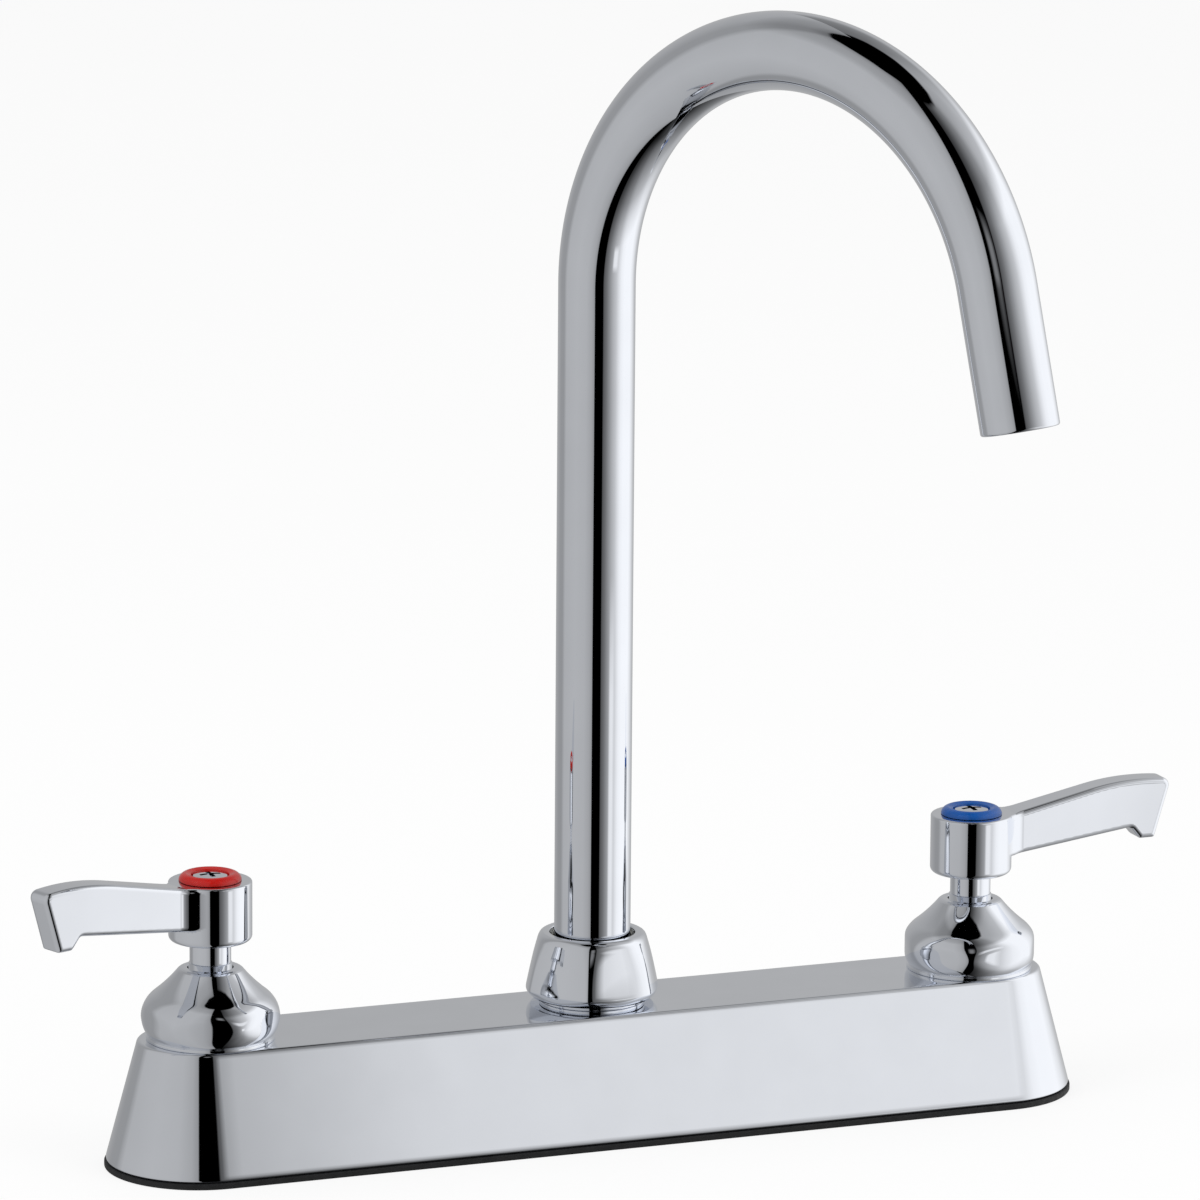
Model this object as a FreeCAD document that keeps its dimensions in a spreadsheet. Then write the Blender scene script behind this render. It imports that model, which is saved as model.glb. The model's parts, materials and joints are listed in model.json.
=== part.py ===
import FreeCAD, Part
import math
import os

import Sketcher

# A two-handle gooseneck faucet for a sink deck, as it comes apart on a bench.
# Millimetres. The origin is on the seating surface, midway between the two valves.
# X runs from the hot valve to the cold one, the user stands at -Y, and +Z is up.

SIZES = [
    # The deck casting and what it sits on
    ("valve_spacing", 203.2, "between the two valve axes, the eight-inch standard"),
    ("deck_height", 32.0, "top face above the seating surface"),
    ("deck_end_overhang", 2.9, "centre of each rounded end beyond its valve's axis"),
    ("deck_bottom_width", 46.6, "front to back at the lower edge"),
    ("deck_top_width", 30.5, "front to back at the top face"),
    ("deck_wall", 2.2, "thickness of the sloping wall"),
    ("deck_top_wall", 2.5, "thickness of the top"),
    ("deck_edge_radius", 1.0, "rounding of the top edge"),
    ("gasket_thickness", 1.5, "rubber seal under the deck"),
    ("gasket_width", 4.5, "width of the seal's band"),
    ("gasket_overhang", 0.2, "how far the seal stands out of the deck"),
    ("spout_setback", 3.1, "spout axis behind the line of the valves"),
    # The gooseneck
    ("tube_diameter", 19.05, "three-quarter-inch tube"),
    ("tube_wall", 1.25, "wall of the tube"),
    ("arch_radius", 64.3, "centre line of the bend"),
    ("arch_sweep", 166.7, "degrees of bend"),
    ("riser_height", 181.2, "start of the bend above the deck's top face"),
    ("outlet_run", 34.0, "straight run after the bend"),
    ("outlet_edge", 0.6, "rounding of the tube's open end"),
    ("spout_azimuth", -63.5, "degrees from X towards which the spout points"),
    # The swivel under the spout nut
    ("collar_width", 0.5, "how far the visible collar stands out of the post"),
    ("collar_height", 1.2, "thickness of that collar"),
    ("nipple_wall", 2.15, "wall of the threaded post that the nut grips"),
    ("nipple_rise", 11.0, "top of the post above the deck"),
    ("spigot_radius", 7.5, "part of the post that screws down into the hub"),
    ("spigot_depth", 8.0, "length of that part below the deck's top face"),
    ("spigot_bore", 5.5, "radius of the waterway up the post"),
    ("bushing_wall", 0.975, "wall of the swivel bushing round the tube"),
    ("bushing_rise", 2.5, "lower end of the bushing above the deck"),
    ("bushing_ledge", 2.525, "ledge in the bushing that the tube stands on"),
    ("tube_rise", 8.0, "lower end of the tube above the deck"),
    ("flange_width", 1.8, "flange that the nut holds down, out of the bushing"),
    ("flange_thickness", 2.0, "thickness of that flange"),
    ("spout_washer_thickness", 1.0, "slip washer between flange and nut"),
    ("nut_wall", 5.2, "from the thread to the corners of the spout nut"),
    ("nut_flat_wall", 3.7, "from the thread to its flats"),
    ("nut_crown", 60.0, "bulge radius of each flat"),
    ("nut_height", 16.1, "height of the nut"),
    ("nut_foot_width", 1.0, "flat ring under the nut"),
    ("nut_chamfer", 2.2, "height of the slope from that ring to the corners"),
    ("nut_belly_height", 3.5, "height at which the nut starts to close in"),
    ("nut_belly", 32.2, "curve of its side above that"),
    ("nut_shoulder_wall", 2.2, "from the thread to where side and rounding meet"),
    ("nut_shoulder_drop", 2.9, "that line below the top"),
    ("nut_rounding", 4.0, "rounding between side and top"),
    ("nut_rim_wall", 0.3, "from the thread to the edge of the flat top"),
    ("nut_clearance", 1.125, "gap between nut and tube"),
    ("nut_turn", -24.7, "degrees from X to the middle of one flat"),
    # The casting under the deck
    ("hub_radius", 10.0, "middle casting"),
    ("hub_floor", 6.0, "underside of the middle casting"),
    ("hub_floor_wall", 3.0, "thickness of its floor"),
    ("boss_radius", 6.5, "bosses that take the cross tubes"),
    ("boss_reach", 17.0, "end of each boss from the casting's axis"),
    ("cross_tube_diameter", 9.52, "three-eighths tube between valve and spout"),
    ("cross_tube_wall", 0.8, "wall of that tube"),
    ("cross_tube_drop", 8.7, "its axis below the deck's ceiling"),
    ("cross_tube_insertion", 6.0, "length inside each boss"),
    ("valve_body_radius", 12.0, "valve casting"),
    ("inlet_radius", 9.5, "half-inch pipe thread, minor radius"),
    ("inlet_depth", 12.0, "depth of the inlet socket"),
    ("seat_wall", 2.0, "web between socket and valve chamber"),
    ("seat_port", 4.5, "radius of the port through that web"),
    ("neck_radius", 11.0, "threaded neck that the bonnet screws on"),
    ("neck_rise", 8.0, "neck above the deck's top face"),
    # The cartridge inside each valve
    ("cartridge_radius", 7.9, "barrel of the cartridge"),
    ("window_barrel_radius", 7.2, "slimmer lower end, round which water leaves"),
    ("window_barrel_height", 11.0, "length of the slimmer end"),
    ("window_radius", 2.0, "side windows in the barrel"),
    ("seat_washer_thickness", 2.0, "rubber washer under the cartridge"),
    ("cartridge_flange_radius", 10.0, "flange held down by the bonnet"),
    ("cartridge_flange_thickness", 3.2, "thickness of that flange"),
    ("gland_radius", 5.35, "top of the cartridge, seen above the bonnet"),
    ("gland_rise", 1.1, "how far it stands above the bonnet"),
    ("disc_radius", 6.1, "ceramic discs"),
    ("disc_thickness", 2.2, "thickness of each disc"),
    ("disc_port_radius", 1.6, "ports through the discs"),
    ("disc_port_offset", 3.2, "ports from the axis"),
    ("stem_radius", 3.5, "valve stem"),
    ("stem_foot_thickness", 2.5, "foot that turns the upper disc"),
    ("stem_drive_flats", 5.5, "across the two flats that drive the lever"),
    ("stem_drive_height", 7.6, "length of the flats"),
    ("ring_seal_thickness", 1.3, "section of the rubber rings"),
    ("ring_seal_spacing", 2.4, "between two rubber rings"),
    ("ring_seal_width", 1.6, "width of a groove for one"),
    # The bonnets
    ("bonnet_height", 18.0, "from the deck to the bonnet's rim"),
    ("bonnet_radius", 17.15, "widest part of the bell"),
    ("bonnet_waist_height", 5.5, "height of the widest part"),
    ("bonnet_belly", 7.9, "rounding of the shoulder"),
    ("bonnet_shoulder_radius", 14.15, "where the shoulder meets the flare"),
    ("bonnet_shoulder_height", 11.4, "height of that line"),
    ("bonnet_flare", 38.0, "hollow curve of the flare"),
    ("bonnet_lip_radius", 8.4, "where the flare meets the lip"),
    ("bonnet_lip_height", 17.0, "height of that line"),
    ("bonnet_rim_radius", 6.7, "flat rim at the top"),
    ("bonnet_rim_rounding", 2.2, "rounding of the lip"),
    ("bonnet_skirt", 9.8, "curve below the widest part"),
    ("bonnet_skirt_radius", 15.5, "foot of that curve"),
    ("bonnet_foot_radius", 15.9, "thin ring at the foot"),
    ("bonnet_foot_height", 0.9, "height of that ring"),
    ("bonnet_across", 32.8, "across the bonnet's flats"),
    ("bonnet_crown", 30.0, "bulge radius of each flat"),
    ("hot_bonnet_turn", -111.7, "degrees from X to the middle of one flat"),
    ("cold_bonnet_turn", -81.7, "the same on the cold side"),
    # The levers
    ("sleeve_radius", 5.1, "sleeve between gland and lever"),
    ("sleeve_insertion", 2.0, "length of the sleeve inside the lever"),
    ("lever_hub_radius", 10.3, "round end of the lever"),
    ("lever_hub_height", 15.0, "height of that end"),
    ("lever_clearance", 5.7, "between gland and lever"),
    ("lever_hub_rounding", 1.4, "rounding of its lower edge"),
    ("lever_length", 54.2, "from the stem's axis to the tip"),
    ("lever_branch_angle", 45.0, "degrees round the hub at which the arm leaves it"),
    ("lever_root_width", 8.6, "width of the arm near the hub"),
    ("lever_tip_width", 7.0, "width of the arm at the tip"),
    ("lever_blend", 6.0, "hollow curve between hub and arm"),
    ("lever_rise", 6.0, "crest of the arm above the hub"),
    ("lever_crest", 66.0, "curve of the crest"),
    ("lever_crest_length", 22.4, "length of that curve, from the tip"),
    ("lever_crest_drop", 1.4, "start of the curve below its highest point"),
    ("lever_nose", 2.0, "rounding of the upper corner at the tip"),
    ("lever_nose_height", 2.6, "start of that rounding below the crest"),
    ("lever_nose_lean", 0.5, "its start behind the tip"),
    ("lever_nose_length", 2.2, "its end behind the tip"),
    ("lever_nose_drop", 0.25, "its end below the crest"),
    ("lever_slant", 4.2, "how far the tip's foot stands back"),
    ("lever_hook_length", 5.0, "finger catch under the tip"),
    ("lever_hook_drop", 9.6, "foot of the catch below the hub's top"),
    ("lever_hook_depth", 3.1, "depth of the catch below the arm"),
    ("lever_under_drop", 10.8, "underside of the arm below the hub's top, at the hub"),
    ("lever_edge", 0.7, "rounding of the catch's corners"),
    ("hot_lever_azimuth", 200.8, "degrees from X at which the hot lever points"),
    ("cold_lever_azimuth", 0.0, "the same on the cold side"),
    ("index_radius", 7.75, "coloured ring on the lever"),
    ("index_seat_radius", 7.3, "recess that holds the ring"),
    ("index_seat_depth", 2.2, "depth of that recess"),
    ("index_hole", 4.6, "radius of the ring's hole"),
    ("index_shoulder", 0.1, "height of its widest line above the lever"),
    ("index_rise", 1.9, "height of its crown above the lever"),
    ("index_crown_radius", 5.9, "radius of its crown"),
    ("screw_radius", 1.8, "shank of the lever's screw"),
    ("screw_head_radius", 4.3, "head of that screw"),
    ("screw_head_height", 3.4, "height of the head"),
    ("screw_dome", 0.4, "rise of the head's middle"),
    ("screw_length", 10.0, "shank below the head"),
    ("cross_slot_length", 5.2, "cross slot in the head"),
    ("cross_slot_width", 1.2, "width of the slot"),
    ("cross_slot_depth", 1.4, "depth of the slot"),
    # Clearances
    ("running_gap", 0.05, "radial clearance of a piece that turns in another"),
    ("fit_gap", 0.1, "radial clearance of a piece that is fixed in another"),
    ("face_gap", 0.1, "between flat faces that slide"),
    ("clear_gap", 0.3, "round a piece that touches nothing"),
]

SIDES = {"hot": -1, "cold": 1}
FACETS = 6

ORIGIN = -1
H_AXIS = -1
V_AXIS = -2
START, END, CENTRE = 1, 2, 3
LEFT, RIGHT = 1, -1
SAME_PLACE = 0.001

# Lean of the deck's walls, in degrees from upright
DECK_SLOPE = (
    "atan((sizes.deck_bottom_width - sizes.deck_top_width) / 2"
    " / (sizes.deck_height - sizes.gasket_thickness))"
)

# Centre of the deck's rounded ends, from the middle
DECK_END = "(sizes.valve_spacing / 2 + sizes.deck_end_overhang)"

# Heights that several pieces share, above the seating surface
DECK_CEILING = "(sizes.deck_height - sizes.deck_top_wall)"
CHAMBER_FLOOR = "(sizes.inlet_depth + sizes.seat_wall)"
CARTRIDGE_FOOT = f"({CHAMBER_FLOOR} + sizes.seat_washer_thickness)"
UPPER_DISC_FOOT = f"({CARTRIDGE_FOOT} + sizes.disc_thickness)"
STEM_FOOT = f"({UPPER_DISC_FOOT} + sizes.disc_thickness)"
STEM_SHOULDER = f"({STEM_FOOT} + sizes.stem_foot_thickness)"
NECK_TOP = "(sizes.deck_height + sizes.neck_rise)"
FLANGE_TOP = f"({NECK_TOP} + sizes.cartridge_flange_thickness)"
GLAND_TOP = "(sizes.deck_height + sizes.bonnet_height + sizes.gland_rise)"
LEVER_FOOT = f"({GLAND_TOP} + sizes.lever_clearance)"
LEVER_TOP = f"({LEVER_FOOT} + sizes.lever_hub_height)"
SLEEVE_TOP = f"({LEVER_FOOT} + sizes.sleeve_insertion)"
STEM_TOP = f"({SLEEVE_TOP} + sizes.stem_drive_height)"
INDEX_SEAT = f"({LEVER_TOP} - sizes.index_seat_depth)"
CROSS_TUBE_AXIS = f"({DECK_CEILING} - sizes.cross_tube_drop)"
COLLAR_TOP = "(sizes.deck_height + sizes.collar_height)"
NIPPLE_TOP = "(sizes.deck_height + sizes.nipple_rise)"
BUSHING_FOOT = "(sizes.deck_height + sizes.bushing_rise)"
TUBE_FOOT = "(sizes.deck_height + sizes.tube_rise)"
BEND_START = "(sizes.deck_height + sizes.riser_height)"
SWIVEL_TOP = f"({NIPPLE_TOP} + sizes.face_gap + sizes.flange_thickness)"
NUT_SHOULDER = f"({SWIVEL_TOP} + sizes.face_gap + sizes.spout_washer_thickness)"
LOWER_SPOUT_RING = f"({BUSHING_FOOT} + sizes.ring_seal_width)"
UPPER_SPOUT_RING = f"({LOWER_SPOUT_RING} + sizes.ring_seal_spacing)"
LOWER_STEM_RING = f"({STEM_SHOULDER} + 4 * sizes.ring_seal_width)"
UPPER_STEM_RING = f"({LOWER_STEM_RING} + sizes.ring_seal_spacing)"

# Radii that the pieces round the spout's foot take from its tube, from the inside out
BUSHING_BORE = "(sizes.tube_diameter / 2 - sizes.bushing_ledge)"
BUSHING_RADIUS = "(sizes.tube_diameter / 2 + sizes.bushing_wall)"
FLANGE_RADIUS = f"({BUSHING_RADIUS} + sizes.flange_width)"
NIPPLE_BORE = f"({BUSHING_RADIUS} + sizes.running_gap)"
NIPPLE_RADIUS = f"({NIPPLE_BORE} + sizes.nipple_wall)"
COLLAR_RADIUS = f"({NIPPLE_RADIUS} + sizes.collar_width)"
NUT_THREAD = f"({NIPPLE_RADIUS} + sizes.fit_gap)"
NUT_RADIUS = f"({NUT_THREAD} + sizes.nut_wall)"


doc = FreeCAD.newDocument("gooseneck_faucet")
sheet = doc.addObject("Spreadsheet::Sheet", "sizes")
for row, (alias, number, meaning) in enumerate(SIZES, start=1):
    sheet.set(f"A{row}", meaning)
    sheet.set(f"B{row}", str(number))
    sheet.setAlias(f"B{row}", alias)
doc.recompute()


def new_piece(name):
    """Start one sub-part of the faucet."""
    body = doc.addObject("PartDesign::Body", name)
    body.Label = name
    return body


def stand(body, x="0", y="0", turn="0"):
    """Put a sub-part at its place, turned about its own upright axis."""
    body.setExpression("Placement.Base.x", x)
    body.setExpression("Placement.Base.y", y)
    body.setExpression("Placement.Rotation.Angle", turn)


def valve_line(side):
    """Give the place of a valve's axis along X."""
    return f"{SIDES[side]} * sizes.valve_spacing / 2"


def sketch_on(body, purpose, plane, lift="0"):
    """Start a sketch on one of the body's own planes, lifted along that plane's normal."""
    sketch = body.newObject("Sketcher::SketchObject", f"{body.Name}_{purpose}")
    support = [feature for feature in body.Origin.OriginFeatures if feature.Role == plane][0]
    sketch.AttachmentSupport = [(support, "")]
    sketch.MapMode = "FlatFace"
    sketch.setExpression("AttachmentOffset.Base.z", lift)
    return sketch


def hold(sketch, geometry, end, x, y):
    """Keep one point of the sketch at the place that two expressions give."""
    for kind, axis, place in (("DistanceX", V_AXIS, x), ("DistanceY", H_AXIS, y)):
        if place == "0":
            sketch.addConstraint(Sketcher.Constraint("PointOnObject", geometry, end, axis))
            continue
        distance = sketch.evalExpression(place)
        constraint = Sketcher.Constraint(kind, ORIGIN, START, geometry, end, distance)
        sketch.setExpression(f"Constraints[{sketch.addConstraint(constraint)}]", place)


def hold_radius(sketch, geometry, radius):
    """Keep a circle or an arc at the radius that an expression gives."""
    constraint = Sketcher.Constraint("Radius", geometry, sketch.evalExpression(radius))
    sketch.setExpression(f"Constraints[{sketch.addConstraint(constraint)}]", radius)


def arc_between(start, end, radius, turn):
    """Make the short arc that leaves start and bends to the left or to the right."""
    half = (end - start).Length / 2
    sideways = FreeCAD.Vector(start.y - end.y, end.x - start.x, 0).normalize() * turn
    centre = (start + end) / 2 + sideways * math.sqrt(radius ** 2 - half ** 2)
    first, last = (start, end) if turn == LEFT else (end, start)
    from_angle = math.atan2(first.y - centre.y, first.x - centre.x)
    to_angle = math.atan2(last.y - centre.y, last.x - centre.x)
    if to_angle < from_angle:
        to_angle += 2 * math.pi
    return Part.ArcOfCircle(Part.Circle(centre, FreeCAD.Vector(0, 0, 1), radius), from_angle, to_angle)


def draw(sketch, corners, closed=True):
    """Join corners (x, y) by lines, or by an arc where a corner adds the radius and turn of its next edge."""
    points = [FreeCAD.Vector(sketch.evalExpression(c[0]), sketch.evalExpression(c[1]), 0) for c in corners]
    count = len(corners) if closed else len(corners) - 1
    edges = []
    for i in range(count):
        start, end = points[i], points[(i + 1) % len(points)]
        if len(corners[i]) == 2:
            edges.append((sketch.addGeometry(Part.LineSegment(start, end)), START, END))
            continue
        radius, turn = corners[i][2:]
        arc = sketch.addGeometry(arc_between(start, end, sketch.evalExpression(radius), turn))
        edges.append((arc, START, END) if turn == LEFT else (arc, END, START))
        hold_radius(sketch, arc, radius)
    for (geometry, start, _), corner in zip(edges, corners):
        hold(sketch, geometry, start, corner[0], corner[1])
    for (geometry, _, end), (following, start, _) in zip(edges, edges[1:]):
        sketch.addConstraint(Sketcher.Constraint("Coincident", geometry, end, following, start))
    last, _, end = edges[-1]
    if closed:
        first, start, _ = edges[0]
        sketch.addConstraint(Sketcher.Constraint("Coincident", last, end, first, start))
    else:
        hold(sketch, last, end, corners[-1][0], corners[-1][1])


def draw_circle(sketch, radius, x="0", y="0"):
    """Draw one circle."""
    centre = FreeCAD.Vector(sketch.evalExpression(x), sketch.evalExpression(y), 0)
    circle = Part.Circle(centre, FreeCAD.Vector(0, 0, 1), sketch.evalExpression(radius))
    geometry = sketch.addGeometry(circle)
    hold(sketch, geometry, CENTRE, x, y)
    hold_radius(sketch, geometry, radius)


def draw_stadium(sketch, radius, centre):
    """Draw a long outline with round ends, centred on the sketch's origin."""
    tip = f"{centre} + {radius}"
    draw(sketch, [
        (f"-({centre})", f"-({radius})"),
        (centre, f"-({radius})", radius, LEFT),
        (tip, "0", radius, LEFT),
        (centre, radius),
        (f"-({centre})", radius, radius, LEFT),
        (f"-({tip})", "0", radius, LEFT),
    ])


def revolve(body, purpose, corners, kind="PartDesign::Revolution"):
    """Turn a closed outline of (radius, height) corners about the body's upright axis."""
    sketch = sketch_on(body, purpose, "XZ_Plane")
    draw(sketch, corners)
    feature = body.newObject(kind, f"{sketch.Name}_turned")
    feature.Profile = sketch
    feature.ReferenceAxis = (sketch, ["V_Axis"])
    feature.Angle = 360
    return feature


def extrude(body, sketch, length, kind="PartDesign::Pad", side="One side", back=False):
    """Push a sketch out by a length, as material or, with kind Pocket, as a cut."""
    feature = body.newObject(kind, f"{sketch.Name}_extruded")
    feature.Profile = sketch
    feature.SideType = side
    feature.Reversed = back
    feature.setExpression("Length", length)
    return feature


def round_edges(body, radius, chosen):
    """Round the edges of the body for which chosen(edge) is true."""
    doc.recompute()
    base = body.Tip
    names = [f"Edge{i}" for i, edge in enumerate(base.Shape.Edges, start=1) if chosen(edge)]
    feature = body.newObject("PartDesign::Fillet", f"{body.Name}_rounding")
    feature.Base = (base, names)
    feature.setExpression("Radius", radius)
    return feature


def lies_at(edge, height):
    """Tell whether a whole edge lies at one height."""
    box = edge.BoundBox
    return abs(box.ZMin - height) < SAME_PLACE and abs(box.ZMax - height) < SAME_PLACE


def is_circle(edge, radius, centre):
    """Tell whether an edge is the circle of that radius about that centre."""
    if edge.Curve.TypeId != "Part::GeomCircle":
        return False
    same_size = abs(edge.Curve.Radius - radius) < SAME_PLACE
    return same_size and edge.Curve.Center.distanceToPoint(centre) < SAME_PLACE


def cut_flats(body, across, crown, wide):
    """Cut the softly bulged flats round a nut or bonnet."""
    reach = f"({across} / 2 - {crown} + sqrt({crown} ^ 2 - ({wide}) ^ 2))"
    outside = f"(3 * {wide})"
    sketch = sketch_on(body, "flat", "XY_Plane")
    draw(sketch, [
        (reach, f"-({wide})", crown, LEFT),
        (reach, wide),
        (outside, wide),
        (outside, f"-({wide})"),
    ])
    flat = extrude(body, sketch, LEVER_TOP, "PartDesign::Pocket", back=True)
    doc.recompute()
    pattern = body.newObject("PartDesign::PolarPattern", f"{body.Name}_flats")
    pattern.Originals = [flat]
    pattern.Axis = (sketch, ["N_Axis"])
    pattern.Angle = 360
    pattern.Occurrences = FACETS
    body.Tip = pattern


def ring_groove(floor, height):
    """Give the outline of a groove for a rubber ring in the outside of a round piece."""
    outside = f"({floor} + sizes.ring_seal_thickness * 2)"
    low = f"({height} - sizes.ring_seal_width / 2)"
    high = f"({height} + sizes.ring_seal_width / 2)"
    return [(floor, low), (outside, low), (outside, high), (floor, high)]


def ring_floor(radius):
    """Give the depth, as a radius, at which a rubber ring lies in a round piece."""
    return f"({radius} - sizes.ring_seal_thickness)"


def ring_pair(name, radius, low):
    """Make two rubber rings that fill their grooves in a piece of the given radius."""
    rings = doc.addObject("Part::Compound", name)
    rings.Label = name
    for place, height in (("lower", low), ("upper", f"{low} + sizes.ring_seal_spacing")):
        ring = doc.addObject("Part::Torus", f"{name}_{place}")
        ring.setExpression("Radius1", f"{radius} - sizes.ring_seal_thickness / 2")
        ring.setExpression("Radius2", "sizes.ring_seal_thickness / 2")
        ring.setExpression("Placement.Base.z", height)
        rings.Links = rings.Links + [ring]
    return rings


def deck_shell():
    """The tapered casting that shows: open below, with three holes in its top."""
    body = new_piece("deck_shell")
    lower = sketch_on(body, "lower_edge", "XY_Plane", "sizes.gasket_thickness")
    draw_stadium(lower, "sizes.deck_bottom_width / 2", DECK_END)
    block = extrude(body, lower, "sizes.deck_height - sizes.gasket_thickness")
    block.setExpression("TaperAngle", f"-({DECK_SLOPE})")
    top = sheet.get("deck_height")
    round_edges(body, "sizes.deck_edge_radius", lambda edge: lies_at(edge, top))
    inner = sketch_on(body, "inner_edge", "XY_Plane", "sizes.gasket_thickness")
    draw_stadium(inner, "(sizes.deck_bottom_width / 2 - sizes.deck_wall)", DECK_END)
    room = extrude(body, inner, f"{DECK_CEILING} - sizes.gasket_thickness", "PartDesign::Pocket", back=True)
    room.setExpression("TaperAngle", f"-({DECK_SLOPE})")
    holes = sketch_on(body, "holes", "XY_Plane", "sizes.deck_height")
    for side in SIDES:
        draw_circle(holes, "sizes.neck_radius + sizes.fit_gap", valve_line(side))
    draw_circle(holes, "sizes.spigot_radius + sizes.fit_gap", "0", "sizes.spout_setback")
    extrude(body, holes, "2 * sizes.deck_top_wall", "PartDesign::Pocket")
    return body


def base_gasket():
    """The black seal that follows the deck's lower edge."""
    body = new_piece("base_gasket")
    outside = "(sizes.deck_bottom_width / 2 + sizes.gasket_overhang)"
    band = sketch_on(body, "band", "XY_Plane")
    draw_stadium(band, outside, DECK_END)
    draw_stadium(band, f"({outside} - sizes.gasket_width)", DECK_END)
    extrude(body, band, "sizes.gasket_thickness")
    return body


def tube_socket(body, y="0"):
    """Sketch the round socket that takes a cross tube, seen along X."""
    sketch = sketch_on(body, "tube_socket", "YZ_Plane")
    draw_circle(sketch, "sizes.cross_tube_diameter / 2 + sizes.fit_gap", y, CROSS_TUBE_AXIS)
    return sketch


def tube_boss(body, y="0"):
    """Sketch the round boss about that socket."""
    sketch = sketch_on(body, "tube_boss", "YZ_Plane")
    draw_circle(sketch, "sizes.boss_radius", y, CROSS_TUBE_AXIS)
    return sketch


def valve_body(side):
    """The casting under each handle: inlet socket below, cartridge chamber above, a boss to the middle."""
    body = new_piece(f"{side}_valve_body")
    revolve(body, "outside", [
        ("0", "0"),
        ("sizes.valve_body_radius", "0"),
        ("sizes.valve_body_radius", DECK_CEILING),
        ("sizes.neck_radius", DECK_CEILING),
        ("sizes.neck_radius", NECK_TOP),
        ("0", NECK_TOP),
    ])
    extrude(body, tube_boss(body), "sizes.boss_reach")
    chamber = "(sizes.cartridge_radius + sizes.fit_gap)"
    revolve(body, "waterway", [
        ("0", "0"),
        ("sizes.inlet_radius", "0"),
        ("sizes.inlet_radius", "sizes.inlet_depth"),
        ("sizes.seat_port", "sizes.inlet_depth"),
        ("sizes.seat_port", CHAMBER_FLOOR),
        (chamber, CHAMBER_FLOOR),
        (chamber, NECK_TOP),
        ("0", NECK_TOP),
    ], "PartDesign::Groove")
    extrude(body, tube_socket(body), "sizes.boss_reach", "PartDesign::Pocket", back=True)
    towards_middle = {"hot": "0", "cold": "180"}
    stand(body, valve_line(side), turn=towards_middle[side])
    return body


def spout_hub():
    """The middle casting, where the two streams meet and turn up into the spout."""
    body = new_piece("spout_hub")
    revolve(body, "outside", [
        ("0", "sizes.hub_floor"),
        ("sizes.hub_radius", "sizes.hub_floor"),
        ("sizes.hub_radius", DECK_CEILING),
        ("0", DECK_CEILING),
    ])
    extrude(body, tube_boss(body, "-sizes.spout_setback"), "2 * sizes.boss_reach", side="Symmetric")
    bore = "(sizes.spigot_radius + sizes.fit_gap)"
    floor = "(sizes.hub_floor + sizes.hub_floor_wall)"
    revolve(body, "chamber", [
        ("0", floor),
        (bore, floor),
        (bore, DECK_CEILING),
        ("0", DECK_CEILING),
    ], "PartDesign::Groove")
    socket = tube_socket(body, "-sizes.spout_setback")
    extrude(body, socket, "2 * sizes.boss_reach", "PartDesign::Pocket", side="Symmetric")
    stand(body, y="sizes.spout_setback")
    return body


def cross_tube(side):
    """The tube that carries one stream from its valve to the middle casting."""
    body = new_piece(f"{side}_cross_tube")
    inner_end = "(sizes.boss_reach - sizes.cross_tube_insertion)"
    start = sketch_on(body, "section", "YZ_Plane", inner_end)
    draw_circle(start, "sizes.cross_tube_diameter / 2", "0", CROSS_TUBE_AXIS)
    draw_circle(start, "sizes.cross_tube_diameter / 2 - sizes.cross_tube_wall", "0", CROSS_TUBE_AXIS)
    extrude(body, start, f"sizes.valve_spacing / 2 - 2 * {inner_end}")
    away_from_middle = {"hot": "180", "cold": "0"}
    stand(body, turn=away_from_middle[side])
    return body


def spout_nipple():
    """The threaded post on the deck; its foot screws into the hub and clamps the deck between them."""
    body = new_piece("spout_nipple")
    foot = "(sizes.deck_height - sizes.spigot_depth)"
    bushing_seat = f"({BUSHING_FOOT} - sizes.clear_gap)"
    revolve(body, "section", [
        ("sizes.spigot_bore", foot),
        ("sizes.spigot_radius", foot),
        ("sizes.spigot_radius", "sizes.deck_height"),
        (COLLAR_RADIUS, "sizes.deck_height"),
        (COLLAR_RADIUS, COLLAR_TOP),
        (NIPPLE_RADIUS, COLLAR_TOP),
        (NIPPLE_RADIUS, NIPPLE_TOP),
        (NIPPLE_BORE, NIPPLE_TOP),
        (NIPPLE_BORE, bushing_seat),
        ("sizes.spigot_bore", bushing_seat),
    ])
    stand(body, y="sizes.spout_setback")
    return body


def spout_bushing():
    """The bushing brazed to the tube: it turns in the post, on two rubber rings."""
    body = new_piece("spout_bushing")
    socket = "(sizes.tube_diameter / 2 + sizes.fit_gap / 2)"
    flange_foot = f"({NIPPLE_TOP} + sizes.face_gap)"
    revolve(body, "section", [
        (BUSHING_BORE, BUSHING_FOOT),
        (BUSHING_RADIUS, BUSHING_FOOT),
        (BUSHING_RADIUS, flange_foot),
        (FLANGE_RADIUS, flange_foot),
        (FLANGE_RADIUS, SWIVEL_TOP),
        (socket, SWIVEL_TOP),
        (socket, TUBE_FOOT),
        (BUSHING_BORE, TUBE_FOOT),
    ])
    for place, height in (("lower", LOWER_SPOUT_RING), ("upper", UPPER_SPOUT_RING)):
        groove = ring_groove(ring_floor(BUSHING_RADIUS), height)
        revolve(body, f"{place}_groove", groove, "PartDesign::Groove")
    stand(body, y="sizes.spout_setback")
    return body


def spout_rings():
    """The two rubber rings on the bushing."""
    rings = ring_pair("spout_o_rings", BUSHING_RADIUS, LOWER_SPOUT_RING)
    rings.setExpression("Placement.Base.y", "sizes.spout_setback")
    return rings


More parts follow.
